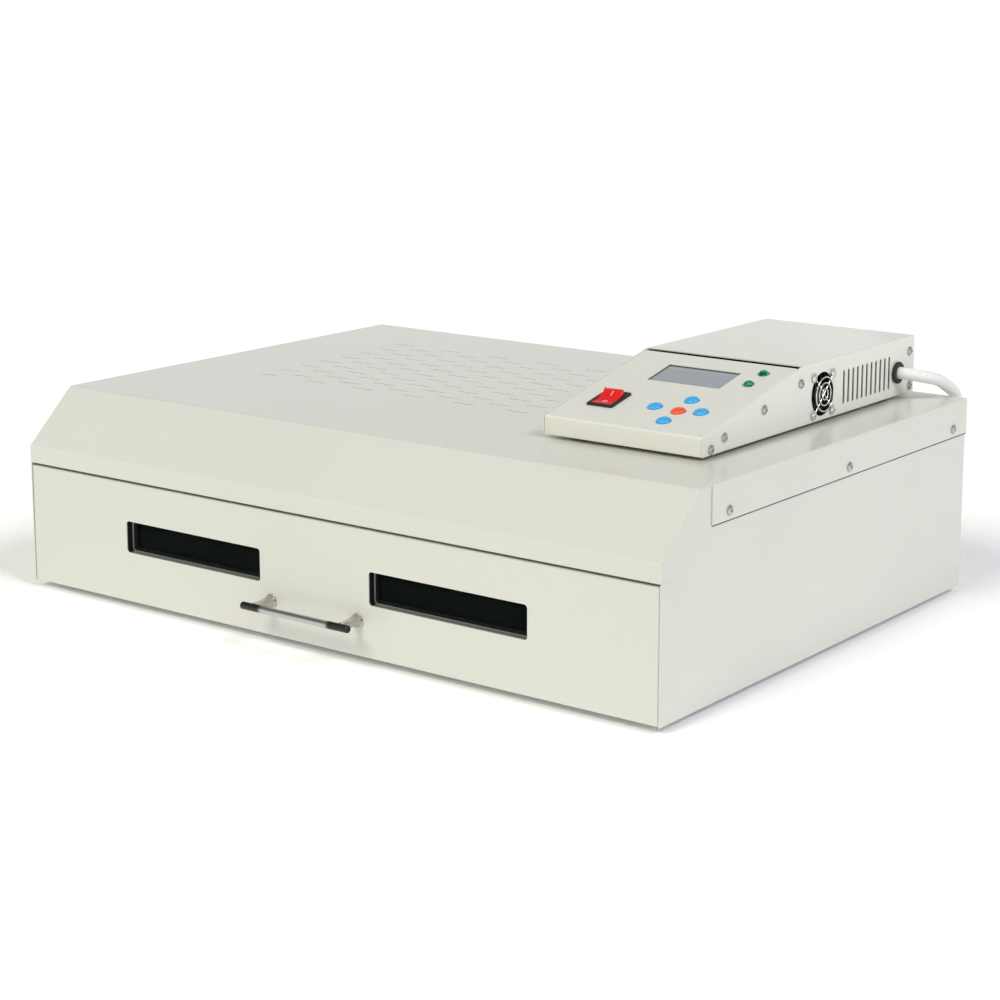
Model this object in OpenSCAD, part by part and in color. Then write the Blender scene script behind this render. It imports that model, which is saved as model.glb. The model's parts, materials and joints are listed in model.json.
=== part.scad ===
// Benchtop infrared reflow oven: a low sheet-metal casing with a telescoping
// drawer at the front and a sloped control box on the top.
// Frame: +X right, +Y to the back, +Z up, origin on the bench under the middle.

/* [Casing] */
// Outer width over the side panels
body_w = 690; // [660:1:720]
// Outer depth, drawer front to rear panel
body_d = 500; // [490:1:520]
// Height of the panels, without the feet
body_h = 175; // [172:1:185]
// Height of the rubber feet
foot_h = 6; // [5:1:12]
// Sheet thickness of the panels
sheet = 1.2; // [1:0.1:1.5]
// Depth of the sloped front of the top cover
slope_run = 51.4; // [45:0.1:60]
// Height of the lower fold of the sloped front
fold_z = 127; // [124:1:130]
// Drop of the cover's side flanges
flange_drop = 32; // [20:1:40]

/* [Drawer] */
// Height of the drawer front
front_h = 109; // [106:1:110]
// Travel of the drawer
drawer_travel = 380; // [200:10:390]
// Width of each window
window_w = 161; // [120:1:180]
// Height of each window
window_h = 28.5; // [20:0.5:32]
// Distance of each window's middle from the centreline
window_x = 141; // [120:1:160]
// Spacing of the handle posts
handle_pitch = 96; // [64:1:128]
// Length of the handle bar
handle_len = 118; // [110:1:160]
// Distance from the drawer front to the middle of the handle bar
handle_out = 24; // [20:1:35]

/* [Control box] */
// Width of the control box
box_w = 156.6; // [150:0.1:170]
// Depth of the control box
box_d = 358; // [350:1:362]
// Distance from the centreline to the box's left side
box_x = 141; // [130:1:150]
// Distance from the casing's front to the box's front
box_y = 130; // [120:1:140]
// Slope of the control panel in degrees
panel_tilt = 12.8; // [10:0.1:15]
// Diameter of the push buttons
button_d = 12; // [10:0.5:13]
// Travel of the push buttons
button_travel = 1.2; // [0.5:0.1:1.3]

/* [Exhaust] */
// Outer diameter of the exhaust collar
collar_d = 98; // [80:1:100]
// Length of the exhaust collar behind the rear panel
collar_len = 27.3; // [25:0.1:40]

/* [Hidden] */

$fn = 48;
cream = "#e6e3d6";
steel = "#c9cbcb";
dark = "#222224";

half_w = body_w / 2;
front_y = -body_d / 2;
back_y = body_d / 2;
top_z = foot_h + body_h;
seam = 2;
side_in = half_w - sheet;

// Folded panel details
front_fold_y = front_y + slope_run;
flange_front_y = front_y + 68;
flange_z = top_z - flange_drop;
fold_inset = sheet * 0.42;
cover_lip = 12;
side_lip = 31;
screw_z = foot_h + 150.5;
side_screws = [92.5, 282, 473.5];
rear_screws = [-300, -100, 60, 300];

// Ventilation slots in the top cover
slot_rows = 15;
slot_pitch_y = 14.75;
slot_pitch_x = 59;
slot_l = 25;
slot_w = 2;
slot_first_y = front_y + 204;

// Oven chamber
liner_t = 1;
liner_w = 630;
liner_z0 = foot_h + 14;
liner_z1 = foot_h + 142;
liner_front = front_y + 19;
liner_back = back_y - 65;
heater_n = 6;
heater_z = foot_h + 124;
heater_y = [for (i = [0 : heater_n - 1]) -185 + 60 * i];
heater_len = 572;
fan_x = -150;
fan_z = foot_h + 80;
exhaust_x = 150;
exhaust_z = foot_h + 84;
exhaust_bore = 86;
inlet_x = -290;
inlet_z = foot_h + 40;

// Telescoping slides, one inside the other
slide_len = 400;
slide_y = front_y + 20;
slide_z = foot_h + 62;
slide_t = 1.2;
outer_h = 33.2;
mid_h = 29.2;
inner_h = 25.6;

// Drawer
front_gap = 1.7;
front_half = half_w - front_gap;
lip = 14;
window_z = foot_h + 60.2;
handle_z = foot_h + 31;
bar_d = 6.6;
bar_y = front_y - handle_out;
tray_half = 301.3;
tray_front = front_y + lip;
tray_back = 155;
tray_z = foot_h + 40;
tray_top = foot_h + 100;
tray_t = 1.2;
tray_sill = 1.8;
seal_t = 3.8;

// Control box, measured from its front left corner on the casing's top
box_x1 = box_x + box_w;
box_y0 = front_y + box_y;
box_y1 = box_y0 + box_d;
box_z0 = top_z + 3.2;
nose_z = top_z + 19;
slope_len = 160;
panel_y1 = box_y0 + slope_len * cos(panel_tilt);
box_top = nose_z + slope_len * sin(panel_tilt);
panel_len = slope_len - 6;
rocker_tilt = 12;
rocker_axis = [0, 0, -1.5];
fan40_y = box_y0 + 190.6;
fan40_z = top_z + 25.7;
fan40_pitch = 32;
vent_n = 11;
vent_y0 = box_y0 + 227.7;
vent_pitch = 8.28;
vent_z0 = top_z + 11;
vent_h = 30;
vent_w = 3.2;
grommet_y = box_y0 + 325;
grommet_z = top_z + 24.6;
box_screw_at = [
    [11.8, 8], [31.9, 14.6], [93.4, 27.3], [152.9, 40.1], [348.9, 41], [350, 9.5]
];

// Controls on the slope: distance from the box's left side, and up the slope
lcd_at = [77.5, 113.4];
lcd_size = [72.3, 37.2];
rocker_at = [36.2, 45.5];
bezel_size = [25.7, 31];
rocker_size = [19, 24.4];
button_at = [[82.7, 44.4], [106.4, 20.6], [107.2, 41.6], [105.6, 65.1], [126.8, 45.3]];
lens_at = [[133.3, 134.3], [133, 110]];
lens_hole = 8;
button_hole = button_d + 0.8;

// Wiring harness between the control box and the casing
sleeve_d = 11;
sleeve_bore = 11.4;
rear_grommet_x = 326;
rear_grommet_z = foot_h + 130;
route = [
    [286, 205, 205.6], [300, 205, 205.6], [308, 206.5, 205.2], [315.5, 210.5, 204],
    [321, 216.5, 202.3], [324.5, 224, 200.3], [326, 233, 197.4], [326, 246, 191.6],
    [326, 258.5, 185.5], [326, 265.5, 180.5], [326, 270, 173.5], [326, 271.5, 165.5],
    [326, 271.5, 154], [326, 269.5, 145.5], [326, 263, 138.5], [326, 254, 136],
    [326, 245, 136], [326, 235, 136]
];

// ---------- shared shapes ----------

// Rectangle with rounded corners, centred, made of true arcs
module round_rect(size, r) {
    square([size.x - 2 * r, size.y], center = true);
    square([size.x, size.y - 2 * r], center = true);
    for (sx = [-1, 1])
        for (sy = [-1, 1])
            translate([sx * (size.x / 2 - r), sy * (size.y / 2 - r)])
                circle(r, $fn = 32);
}

// Slot with round ends, length along X, centred
module slot_2d(l, w) {
    square([l - w, w], center = true);
    for (s = [-1, 1])
        translate([s * (l - w) / 2, 0])
            circle(w / 2, $fn = 24);
}

// Extrudes an outline drawn in Y and Z along X, from x0 to x1
module along_x(x0, x1) {
    translate([x0, 0, 0])
        rotate([90, 0, 90])
            linear_extrude(x1 - x0)
                children();
}

// Extrudes an outline drawn in X and Z along Y, from y0 to y1
module along_y(y0, y1) {
    translate([0, y1, 0])
        rotate([90, 0, 0])
            linear_extrude(y1 - y0)
                children();
}

// Box between two corners
module block(a, b) {
    translate(a)
        cube([b.x - a.x, b.y - a.y, b.z - a.z]);
}

// Pan-head screw with a cross recess, head outwards along +Z from z = 0
module pan_screw(head_d = 8.2, head_h = 2.5, shank_d = 3.4, shank_l = 5) {
    difference() {
        union() {
            rotate_extrude($fn = 32)
                intersection() {
                    square([head_d / 2, head_h]);
                    translate([0, -head_d * 0.55])
                        circle(head_d * 0.55 + head_h, $fn = 64);
                }
            translate([0, 0, -shank_l])
                cylinder(h = shank_l, d = shank_d, $fn = 32);
        }
        for (a = [0, 90])
            rotate([0, 0, a])
                translate([-head_d * 0.28, -0.45, head_h - 1.3])
                    cube([head_d * 0.56, 0.9, 3]);
    }
}

// Puts children on the control panel: x from the box's left side, s up the slope,
// local +Z out of the panel and z = 0 on its face
module on_panel(at) {
    translate([box_x + at.x, box_y0, nose_z])
        rotate([panel_tilt, 0, 0])
            translate([0, at.y, 0])
                children();
}

// ---------- casing ----------

module base_pan() {
    color(steel)
        difference() {
            block([-side_in, front_y + 16, foot_h], [side_in, back_y - sheet, foot_h + 13]);
            block(
                [-side_in + sheet, front_y + 16 + sheet, foot_h + sheet],
                [side_in - sheet, back_y - 2 * sheet, foot_h + 20]
            );
            for (x = [-295, 295], y = [-200, 200])
                translate([x, y, foot_h - 1])
                    cylinder(h = 5, d = 4.4);
        }
}

// Side panel outline in Y and Z, under the fold of the top cover
module side_outline() {
    polygon([
        [front_y, foot_h],
        [front_y, foot_h + front_h + seam],
        [front_y + cover_lip, foot_h + front_h + seam],
        [front_y + cover_lip, foot_h + front_h + seam + sheet],
        [front_y + sheet, foot_h + front_h + seam + sheet],
        [front_y + sheet, foot_h + fold_z - fold_inset],
        [front_fold_y + fold_inset, top_z - sheet],
        [back_y, top_z - sheet],
        [back_y, foot_h]
    ]);
}

// Right side panel; the left one is its mirror image
module side_panel() {
    color(cream)
        difference() {
            union() {
                along_x(side_in, half_w)
                    side_outline();
                block(
                    [half_w - side_lip, tray_front + 1, foot_h + 13.2],
                    [side_in, tray_front + 1 + sheet, foot_h + fold_z]
                );
            }
            for (y = side_screws)
                translate([side_in - 1, front_y + y, screw_z])
                    rotate([0, 90, 0])
                        cylinder(h = 5, d = 3.8);
        }
}

module side_panel_right() {
    side_panel();
}

module side_panel_left() {
    mirror([1, 0, 0])
        side_panel();
}

module rear_panel() {
    color(cream)
        difference() {
            along_y(back_y - sheet, back_y)
                difference() {
                    translate([-side_in, foot_h])
                        square([2 * side_in, body_h - sheet]);
                    translate([exhaust_x, exhaust_z])
                        circle(d = exhaust_bore, $fn = 96);
                    translate([rear_grommet_x, rear_grommet_z])
                        circle(d = 16);
                    translate([inlet_x, inlet_z])
                        round_rect([27.4, 19.8], 3);
                    for (i = [0 : 9], j = [0 : 2])
                        translate([-230 + 14 * i, foot_h + 60 + 28 * j])
                            rotate(90)
                                slot_2d(20, 3);
                }
            for (x = rear_screws)
                translate([x, back_y + 1, screw_z])
                    rotate([90, 0, 0])
                        cylinder(h = 5, d = 3.8);
        }
}

// Outline of the folded cover in Y and Z: front strip, slope, top and rear flange
module cover_outline() {
    polygon([
        [front_y, foot_h + front_h + seam],
        [front_y, foot_h + fold_z],
        [front_fold_y, top_z],
        [back_y + sheet, top_z],
        [back_y + sheet, flange_z],
        [back_y, flange_z],
        [back_y, top_z - sheet],
        [front_fold_y + fold_inset, top_z - sheet],
        [front_y + sheet, foot_h + fold_z - fold_inset],
        [front_y + sheet, foot_h + front_h + seam + sheet],
        [front_y + cover_lip, foot_h + front_h + seam + sheet],
        [front_y + cover_lip, foot_h + front_h + seam]
    ]);
}

// Slots in staggered rows: nine in one row, eight in the next
module cover_slots() {
    for (row = [0 : slot_rows - 1])
        let (odd = row % 2, count = 9 - odd)
            for (i = [0 : count - 1])
                translate([(i - (count - 1) / 2) * slot_pitch_x, slot_first_y + row * slot_pitch_y])
                    slot_2d(slot_l, slot_w);
}

module top_cover() {
    color(cream)
        difference() {
            union() {
                along_x(-half_w, half_w)
                    cover_outline();
                for (s = [0, 1])
                    mirror([s, 0, 0])
                        block(
                            [half_w, flange_front_y, flange_z],
                            [half_w + sheet, back_y + sheet, top_z]
                        );
            }
            translate([0, 0, top_z - 5])
                linear_extrude(10)
                    cover_slots();
            for (y = side_screws)
                translate([-half_w - 5, front_y + y, screw_z])
                    rotate([0, 90, 0])
                        cylinder(h = body_w + 10, d = 3.8);
            for (x = rear_screws)
                translate([x, back_y + 5, screw_z])
                    rotate([90, 0, 0])
                        cylinder(h = 10, d = 3.8);
        }
}

module cover_screws() {
    color("silver") {
        for (s = [0, 1])
            mirror([s, 0, 0])
                for (y = side_screws)
                    translate([half_w + sheet, front_y + y, screw_z])
                        rotate([0, 90, 0])
                            pan_screw();
        for (x = rear_screws)
            translate([x, back_y + sheet, screw_z])
                rotate([-90, 0, 0])
                    pan_screw();
    }
}

module rubber_feet() {
    color(dark)
        for (x = [-295, 295], y = [-200, 200])
            translate([x, y, 0])
                rotate_extrude()
                    difference() {
                        polygon([[2.1, 0], [12, 0], [14, 2], [14, foot_h], [2.1, foot_h]]);
                        square([5, foot_h - 3]);
                    }
}

// ---------- oven chamber ----------

module oven_liner() {
    inner = liner_w / 2 - liner_t;
    color(steel)
        difference() {
            block([-liner_w / 2, liner_front, liner_z0], [liner_w / 2, liner_back, liner_z1]);
            block(
                [-inner, liner_front - 1, liner_z0 + liner_t],
                [inner, liner_back - liner_t, liner_z1 - liner_t]
            );
            translate([fan_x, liner_back + 1, fan_z])
                rotate([90, 0, 0])
                    cylinder(h = 5, d = 12);
            translate([exhaust_x, liner_back + 1, exhaust_z])
                rotate([90, 0, 0])
                    cylinder(h = 5, d = 70);
            translate([0, liner_back + 1, foot_h + 106])
                rotate([90, 0, 0])
                    cylinder(h = 5, d = 6.4);
        }
}

// Four batts round the liner: under, over and at both sides
module insulation() {
    gap = 0.4;
    x1 = side_in - 2;
    color("#d9d3c4") {
        block([-290, -180, foot_h + 2], [290, liner_back, liner_z0 - gap]);
        block([-300, -180, liner_z1 + gap], [300, liner_back, top_z - 5]);
        for (s = [0, 1])
            mirror([s, 0, 0])
                block(
                    [liner_w / 2 + gap, liner_front + 2, foot_h + 15],
                    [x1, liner_back, liner_z1]
                );
    }
}

module heater_tubes() {
    color("#e9d9c2")
        for (y = heater_y)
            translate([-heater_len / 2, y, heater_z])
                rotate([0, 90, 0])
                    difference() {
                        cylinder(h = heater_len, d = 12);
                        translate([0, 0, -1])
                            cylinder(h = heater_len + 2, d = 9.6);
                    }
}

module heater_end_caps() {
    color("#f2efe6")
        for (y = heater_y, s = [0, 1])
            mirror([s, 0, 0])
                translate([heater_len / 2, y, heater_z])
                    rotate([0, 90, 0])
                        union() {
                            cylinder(h = 14, d = 15);
                            translate([0, 0, 14])
                                cylinder(h = 5, d = 5);
                        }
}

// Hanging rails that carry the ceramic ends, one at each side of the chamber
module heater_brackets() {
    color(steel)
        for (s = [0, 1])
            mirror([s, 0, 0])
                difference() {
                    union() {
                        block([291, -205, heater_z - 12], [292.5, 140, liner_z1 - liner_t]);
                        block([291, -205, liner_z1 - liner_t - 1.5], [306, 140, liner_z1 - liner_t]);
                    }
                    for (y = heater_y)
                        translate([280, y, heater_z])
                            rotate([0, 90, 0])
                                cylinder(h = 20, d = 15.4);
                }
}

module heater_reflector() {
    z0 = heater_z + 12;
    color("#dfe2e4")
        along_y(-205, 140)
            polygon([
                [-286, z0 - 4], [-285, z0 - 4], [-285, z0], [285, z0], [285, z0 - 4],
                [286, z0 - 4], [286, z0 + 1], [-286, z0 + 1]
            ]);
}

// Motor behind the chamber, on two standoffs, with its shaft through the rear wall
module circulation_motor() {
    color("#8a8f94")
        translate([fan_x, liner_back, fan_z])
            rotate([-90, 0, 0]) {
                difference() {
                    union() {
                        translate([0, 0, 8])
                            cylinder(h = 32, d = 60);
                        translate([0, 0, 40])
                            cylinder(h = 4, d = 22);
                        translate([0, 0, -19.4])
                            cylinder(h = 28, d = 6);
                        for (a = [0, 120, 240])
                            rotate(a)
                                translate([24, 0, 0])
                                    cylinder(h = 9, d = 6);
                    }
                    for (a = [0 : 30 : 330])
                        rotate(a)
                            translate([27, -1.5, 14])
                                cube([6, 3, 18]);
                }
            }
}

module circulation_blade() {
    color("#b9bdc0")
        translate([fan_x, liner_back - 13, fan_z])
            rotate([90, 0, 0])
                difference() {
                    union() {
                        translate([0, 0, -5])
                            cylinder(h = 10, d = 18);
                        for (a = [0 : 60 : 300])
                            rotate([0, 0, a])
                                translate([26, 0, 0])
                                    rotate([28, 0, 0])
                                        cube([40, 20, 1], center = true);
                    }
                    translate([0, 0, -6])
                        cylinder(h = 12, d = 6.1);
                }
}

module exhaust_fan_frame() {
    half = 46;
    depth = 25.4;
    color(dark)
        translate([exhaust_x, back_y - sheet, exhaust_z])
            rotate([90, 0, 0])
                linear_extrude(depth)
                    difference() {
                        round_rect([2 * half, 2 * half], 5);
                        circle(d = exhaust_bore, $fn = 96);
                        for (sx = [-1, 1], sy = [-1, 1])
                            translate([sx * 41.3, sy * 41.3])
                                circle(d = 4.4);
                    }
    color(dark)
        translate([exhaust_x, back_y - sheet - depth, exhaust_z])
            rotate([-90, 0, 0])
                difference() {
                    union() {
                        cylinder(h = 4, d = 36);
                        for (a = [45 : 90 : 315])
                            rotate([0, 0, a])
                                translate([30, 0, 1])
                                    cube([30, 4, 2], center = true);
                    }
                    translate([0, 0, 2])
                        cylinder(h = 10, d = 5.1);
                }
}

module exhaust_fan_wheel() {
    color("#2b2c30")
        translate([exhaust_x, back_y - sheet - 12, exhaust_z])
            rotate([90, 0, 0])
                union() {
                    translate([0, 0, -8])
                        cylinder(h = 16, d = 36);
                    translate([0, 0, 7])
                        cylinder(h = 4, d = 5);
                    for (a = [0 : 360 / 7 : 359])
                        rotate([0, 0, a])
                            translate([29.2, 0, 0])
                                rotate([35, 0, 0])
                                    cube([24, 20, 1.4], center = true);
                }
}

// Duct from the chamber's rear wall to the exhaust fan
module exhaust_duct() {
    color(steel)
        translate([exhaust_x, liner_back, exhaust_z])
            rotate([-90, 0, 0])
                difference() {
                    cylinder(h = back_y - sheet - 25.4 - liner_back, d = 76);
                    translate([0, 0, -1])
                        cylinder(h = 60, d = 74);
                }
}

module exhaust_collar() {
    color(steel)
        translate([exhaust_x, back_y, exhaust_z])
            rotate([-90, 0, 0])
                difference() {
                    rotate_extrude($fn = 96)
                        polygon([
                            [collar_d / 2 - 1.5, 0], [collar_d / 2 + 7, 0],
                            [collar_d / 2 + 7, 1.2], [collar_d / 2, 1.2],
                            [collar_d / 2, collar_len], [collar_d / 2 - 1.5, collar_len]
                        ]);
                    for (a = [0 : 90 : 270])
                        rotate(a)
                            translate([collar_d / 2 + 3.8, 0, -1])
                                cylinder(h = 4, d = 3.6);
                }
}

// Three-pin appliance inlet with a flange and two ears
module mains_inlet() {
    color(dark)
        translate([inlet_x, back_y, inlet_z])
            rotate([90, 0, 0]) {
                difference() {
                    union() {
                        translate([0, 0, -2.4])
                            linear_extrude(2.4)
                                round_rect([50, 24], 4);
                        linear_extrude(24)
                            round_rect([27, 19.4], 3);
                    }
                    translate([0, 0, -3])
                        linear_extrude(19)
                            round_rect([24, 16.4], 2.5);
                    for (s = [-1, 1])
                        translate([20 * s, 0, -3])
                            cylinder(h = 4, d = 3.6);
                }
                for (p = [[-7, -1.5], [7, -1.5], [0, 2.5]])
                    translate([p.x - 1, p.y - 2, 5])
                        cube([2, 4, 12]);
            }
}

module thermocouple() {
    color("silver")
        translate([0, liner_back, foot_h + 106])
            rotate([90, 0, 0])
                union() {
                    cylinder(h = 55, d = 3.2);
                    translate([0, 0, liner_t])
                        cylinder(h = 5, d = 11, $fn = 6);
                    translate([0, 0, -18])
                        cylinder(h = 19, d = 6);
                }
}

// ---------- telescoping slides ----------

// C-shaped member: web from x0, flanges reaching the other way to x1
module slide_member(x_web, x_edge, h) {
    s = x_edge < x_web ? 1 : -1;
    along_y(slide_y, slide_y + slide_len) {
        translate([s > 0 ? x_web : x_web - slide_t, slide_z - h / 2])
            square([slide_t, h]);
        for (z = [slide_z - h / 2, slide_z + h / 2 - slide_t])
            translate([min(x_edge, x_web), z])
                square([abs(x_web - x_edge), slide_t]);
    }
}

module slide_outer_right() {
    color(steel)
        slide_member(liner_w / 2 - liner_t - slide_t, 305, outer_h);
}

module slide_outer_left() {
    mirror([1, 0, 0])
        slide_outer_right();
}

module slide_mid_right() {
    color(steel)
        slide_member(309.6, 303.6, mid_h);
}

module slide_mid_left() {
    mirror([1, 0, 0])
        slide_mid_right();
}

module slide_inner_right() {
    color(steel)
        slide_member(tray_half + slide_t, 308.4, inner_h);
}

module slide_inner_left() {
    mirror([1, 0, 0])
        slide_inner_right();
}

// ---------- drawer ----------

// Both windows as outlines in X and Z, grown by g on every side
module windows_2d(g) {
    for (s = [-1, 1])
        translate([s * window_x, window_z])
            round_rect([window_w + 2 * g, window_h + 2 * g], 3 + g / 2);
}

module drawer_front() {
    z0 = foot_h + 0.5;
    z1 = foot_h + front_h;
    color(cream)
        difference() {
            block([-front_half, front_y, z0], [front_half, front_y + lip, z1]);
            block(
                [-front_half + sheet, front_y + sheet, z0 + sheet],
                [front_half - sheet, front_y + 20, z1 - sheet]
            );
            along_y(front_y - 1, front_y + 3)
                windows_2d(0);
            for (s = [-1, 1])
                translate([s * handle_pitch / 2, front_y - 1, handle_z])
                    rotate([-90, 0, 0])
                        cylinder(h = 5, d = 4.4);
        }
}

// Black moulded frames behind the window openings
module window_frames() {
    color(dark)
        along_y(front_y + sheet, front_y + sheet + 7)
            difference() {
                windows_2d(7);
                windows_2d(0);
            }
}

module window_glass() {
    y0 = front_y + sheet + 7;
    color("#9fb6ad", 0.4)
        along_y(y0, y0 + 4)
            windows_2d(6);
}

module handle_bar() {
    r = bar_d / 2;
    color("silver")
        translate([-handle_len / 2, bar_y, handle_z])
            rotate([0, 90, 0])
                rotate_extrude()
                    polygon([
                        [0, 0], [r - 0.8, 0], [r, 0.8], [r, handle_len - 0.8],
                        [r - 0.8, handle_len], [0, handle_len]
                    ]);
}

module handle_posts() {
    reach = handle_out - bar_d / 2 + 1;
    color("silver")
        for (s = [-1, 1])
            translate([s * handle_pitch / 2, front_y, handle_z])
                rotate([90, 0, 0])
                    rotate_extrude()
                        difference() {
                            polygon([
                                [0, 0], [6.2, 0], [6.2, 1.6], [5.2, 4], [4, 10], [3.2, reach - 7],
                                [3, reach], [0, reach]
                            ]);
                            square([2.1, 12]);
                        }
}

module handle_screws() {
    color("silver")
        for (s = [-1, 1])
            translate([s * handle_pitch / 2, front_y + sheet, handle_z])
                rotate([-90, 0, 0])
                    pan_screw(head_d = 8, head_h = 2.6, shank_d = 4, shank_l = 11);
}

module drawer_tray() {
    color("#6b6e70")
        difference() {
            block([-tray_half, tray_front, tray_z], [tray_half, tray_back, tray_top]);
            block(
                [-tray_half + tray_t, tray_front + tray_t, tray_z + tray_t],
                [tray_half - tray_t, tray_back - tray_t, tray_top + 1]
            );
            along_y(tray_front - 1, tray_front + 3)
                intersection() {
                    windows_2d(1);
                    translate([-tray_half, window_z - window_h / 2 + tray_sill])
                        square([2 * tray_half, window_h]);
                }
            translate([0, 0, tray_z - 1])
                linear_extrude(4)
                    for (row = [0 : 12], i = [0 : 12 - row % 2])
                        translate([(i - (12 - row % 2) / 2) * 44, tray_front + 24 + row * 28])
                            slot_2d(28, 3.6);
        }
}

// Woven seal on the back of the drawer front, round the tray
module drawer_seal() {
    color("#55534c")
        along_y(tray_front, tray_front + seal_t)
            difference() {
                translate([-313, foot_h + 24])
                    square([626, 84 - 0.5]);
                translate([-tray_half - 1, tray_z - 1.5])
                    square([2 * tray_half + 2, tray_top - tray_z + 3]);
            }
}

// ---------- control box ----------

// Upright ventilation slots in the sides of the control box
module side_vents() {
    for (i = [0 : vent_n - 1])
        translate([vent_y0 + i * vent_pitch, vent_z0 + vent_h / 2])
            rotate(90)
                slot_2d(vent_h, vent_w);
}

module box_side_cuts() {
    side_vents();
    translate([fan40_y, fan40_z])
        circle(d = 38, $fn = 64);
    for (sy = [-1, 1], sz = [-1, 1])
        translate([fan40_y + sy * fan40_pitch / 2, fan40_z + sz * fan40_pitch / 2])
            circle(d = 3.4);
    translate([grommet_y, grommet_z])
        circle(d = 16);
}

module box_screw_holes() {
    for (p = box_screw_at)
        translate([box_y0 + p.x, top_z + p.y])
            circle(d = 3.2);
}

// Floor, rear wall and corner flanges of the control box
module box_base() {
    inner = box_x + sheet;
    outer = box_x1 - sheet;
    color(cream)
        difference() {
            union() {
                block([inner, box_y0 + sheet, box_z0], [outer, box_y1, box_z0 + sheet]);
                block([inner, box_y1 - sheet, box_z0], [outer, box_y1, box_top - sheet]);
                for (x = [inner, outer - sheet])
                    block([x, box_y1 - 14, box_z0], [x + sheet, box_y1, box_top - sheet]);
            }
            along_x(box_x - 1, box_x1 + 1)
                box_screw_holes();
        }
}

// Holes of the control panel, in the plane of its slope
module panel_cuts() {
    translate([lcd_at.x, lcd_at.y])
        square(lcd_size, center = true);
    translate([rocker_at.x, rocker_at.y])
        square([22, 27.6], center = true);
    for (p = button_at)
        translate([p.x, p.y])
            circle(d = button_hole);
    for (p = lens_at)
        translate([p.x, p.y])
            circle(d = lens_hole);
}

// Front and slope between the sides, with flanges inside them
module box_panel() {
    inner = box_x + sheet;
    outer = box_x1 - sheet;
    y_in = box_y0 + sheet;
    end_y = box_y0 + panel_len * cos(panel_tilt);
    end_z = nose_z + panel_len * sin(panel_tilt);
    color(cream)
        difference() {
            union() {
                along_x(inner, outer)
                    polygon([
                        [box_y0, box_z0], [box_y0, nose_z], [end_y, end_z],
                        [end_y, end_z - sheet * 1.02], [y_in, nose_z - sheet * 0.9],
                        [y_in, box_z0]
                    ]);
                for (x = [inner, outer - sheet])
                    along_x(x, x + sheet)
                        polygon([
                            [box_y0 + sheet / 2, box_z0 + sheet],
                            [box_y0 + sheet / 2, nose_z - sheet / 2],
                            [end_y, end_z - sheet / 2], [end_y, end_z - 20],
                            [box_y0 + 40, nose_z - 12], [box_y0 + 18, box_z0 + sheet]
                        ]);
            }
            on_panel([0, 0])
                translate([0, 0, -4])
                    linear_extrude(8)
                        panel_cuts();
            along_x(box_x - 1, box_x1 + 1)
                box_screw_holes();
        }
}

// Flat top and both sides in one folded sheet, the sides reaching down the slope
module box_cover() {
    side = [
        [box_y0, box_z0], [box_y0, nose_z], [panel_y1, box_top], [box_y1, box_top],
        [box_y1, box_z0]
    ];
    color(cream)
        union() {
            along_x(box_x1 - sheet, box_x1)
                difference() {
                    polygon(side);
                    box_side_cuts();
                    box_screw_holes();
                }
            along_x(box_x, box_x + sheet)
                difference() {
                    polygon(side);
                    box_screw_holes();
                    side_vents();
                }
            block([box_x, panel_y1, box_top - sheet], [box_x1, box_y1, box_top]);
        }
}

module box_screws() {
    color("silver")
        for (p = box_screw_at) {
            translate([box_x1, box_y0 + p.x, top_z + p.y])
                rotate([0, 90, 0])
                    pan_screw(head_d = 8, head_h = 2.5, shank_d = 2.9);
            translate([box_x, box_y0 + p.x, top_z + p.y])
                rotate([0, -90, 0])
                    pan_screw(head_d = 8, head_h = 2.5, shank_d = 2.9);
        }
}

module box_spacers() {
    color(dark)
        for (x = [box_x + 22, box_x1 - 22], y = [box_y0 + 24, box_y1 - 24])
            translate([x, y, top_z])
                cylinder(h = box_z0 - top_z, d = 16);
}

module lcd_module() {
    color("#2d5a3d")
        on_panel(lcd_at)
            translate([0, 0, -9]) {
                linear_extrude(1.6)
                    square([93, 52], center = true);
                translate([0, 0, 1.6])
                    linear_extrude(4)
                        square([82, 44], center = true);
            }
}

module lcd_glass() {
    color("#8f9da3")
        on_panel(lcd_at)
            translate([0, 0, -3.4])
                linear_extrude(1.4)
                    square([78, 41], center = true);
}

module rocker_bezel() {
    color(dark)
        on_panel(rocker_at)
            difference() {
                union() {
                    linear_extrude(2)
                        round_rect(bezel_size, 1.5);
                    translate([0, 0, -9])
                        linear_extrude(9)
                            square([21.6, 27.2], center = true);
                }
                translate([0, 0, -7.4])
                    linear_extrude(12)
                        square([rocker_size.x + 0.8, rocker_size.y + 0.8], center = true);
                translate(rocker_axis - [10.75, 0, 0])
                    rotate([0, 90, 0])
                        cylinder(h = 21.5, d = 2.6);
            }
}

// Two-faced rocker on its pivot, its far end raised at rest
module rocker() {
    half = rocker_size.y / 2 - 1.2;
    color("#c8201c")
        on_panel(rocker_at)
            translate(rocker_axis)
                rotate([rocker_tilt, 0, 0]) {
                    rotate([90, 0, 90])
                        translate([0, 0, -rocker_size.x / 2])
                            linear_extrude(rocker_size.x)
                                polygon([
                                    [-half, 0], [-half, 6], [-half / 2, 4], [0, 3.3], [half / 2, 4],
                                    [half, 6], [half, 0], [3, -4], [-3, -4]
                                ]);
                    translate([-10.3, 0, 0])
                        rotate([0, 90, 0])
                            cylinder(h = 20.6, d = 2.5);
                }
}

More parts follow.
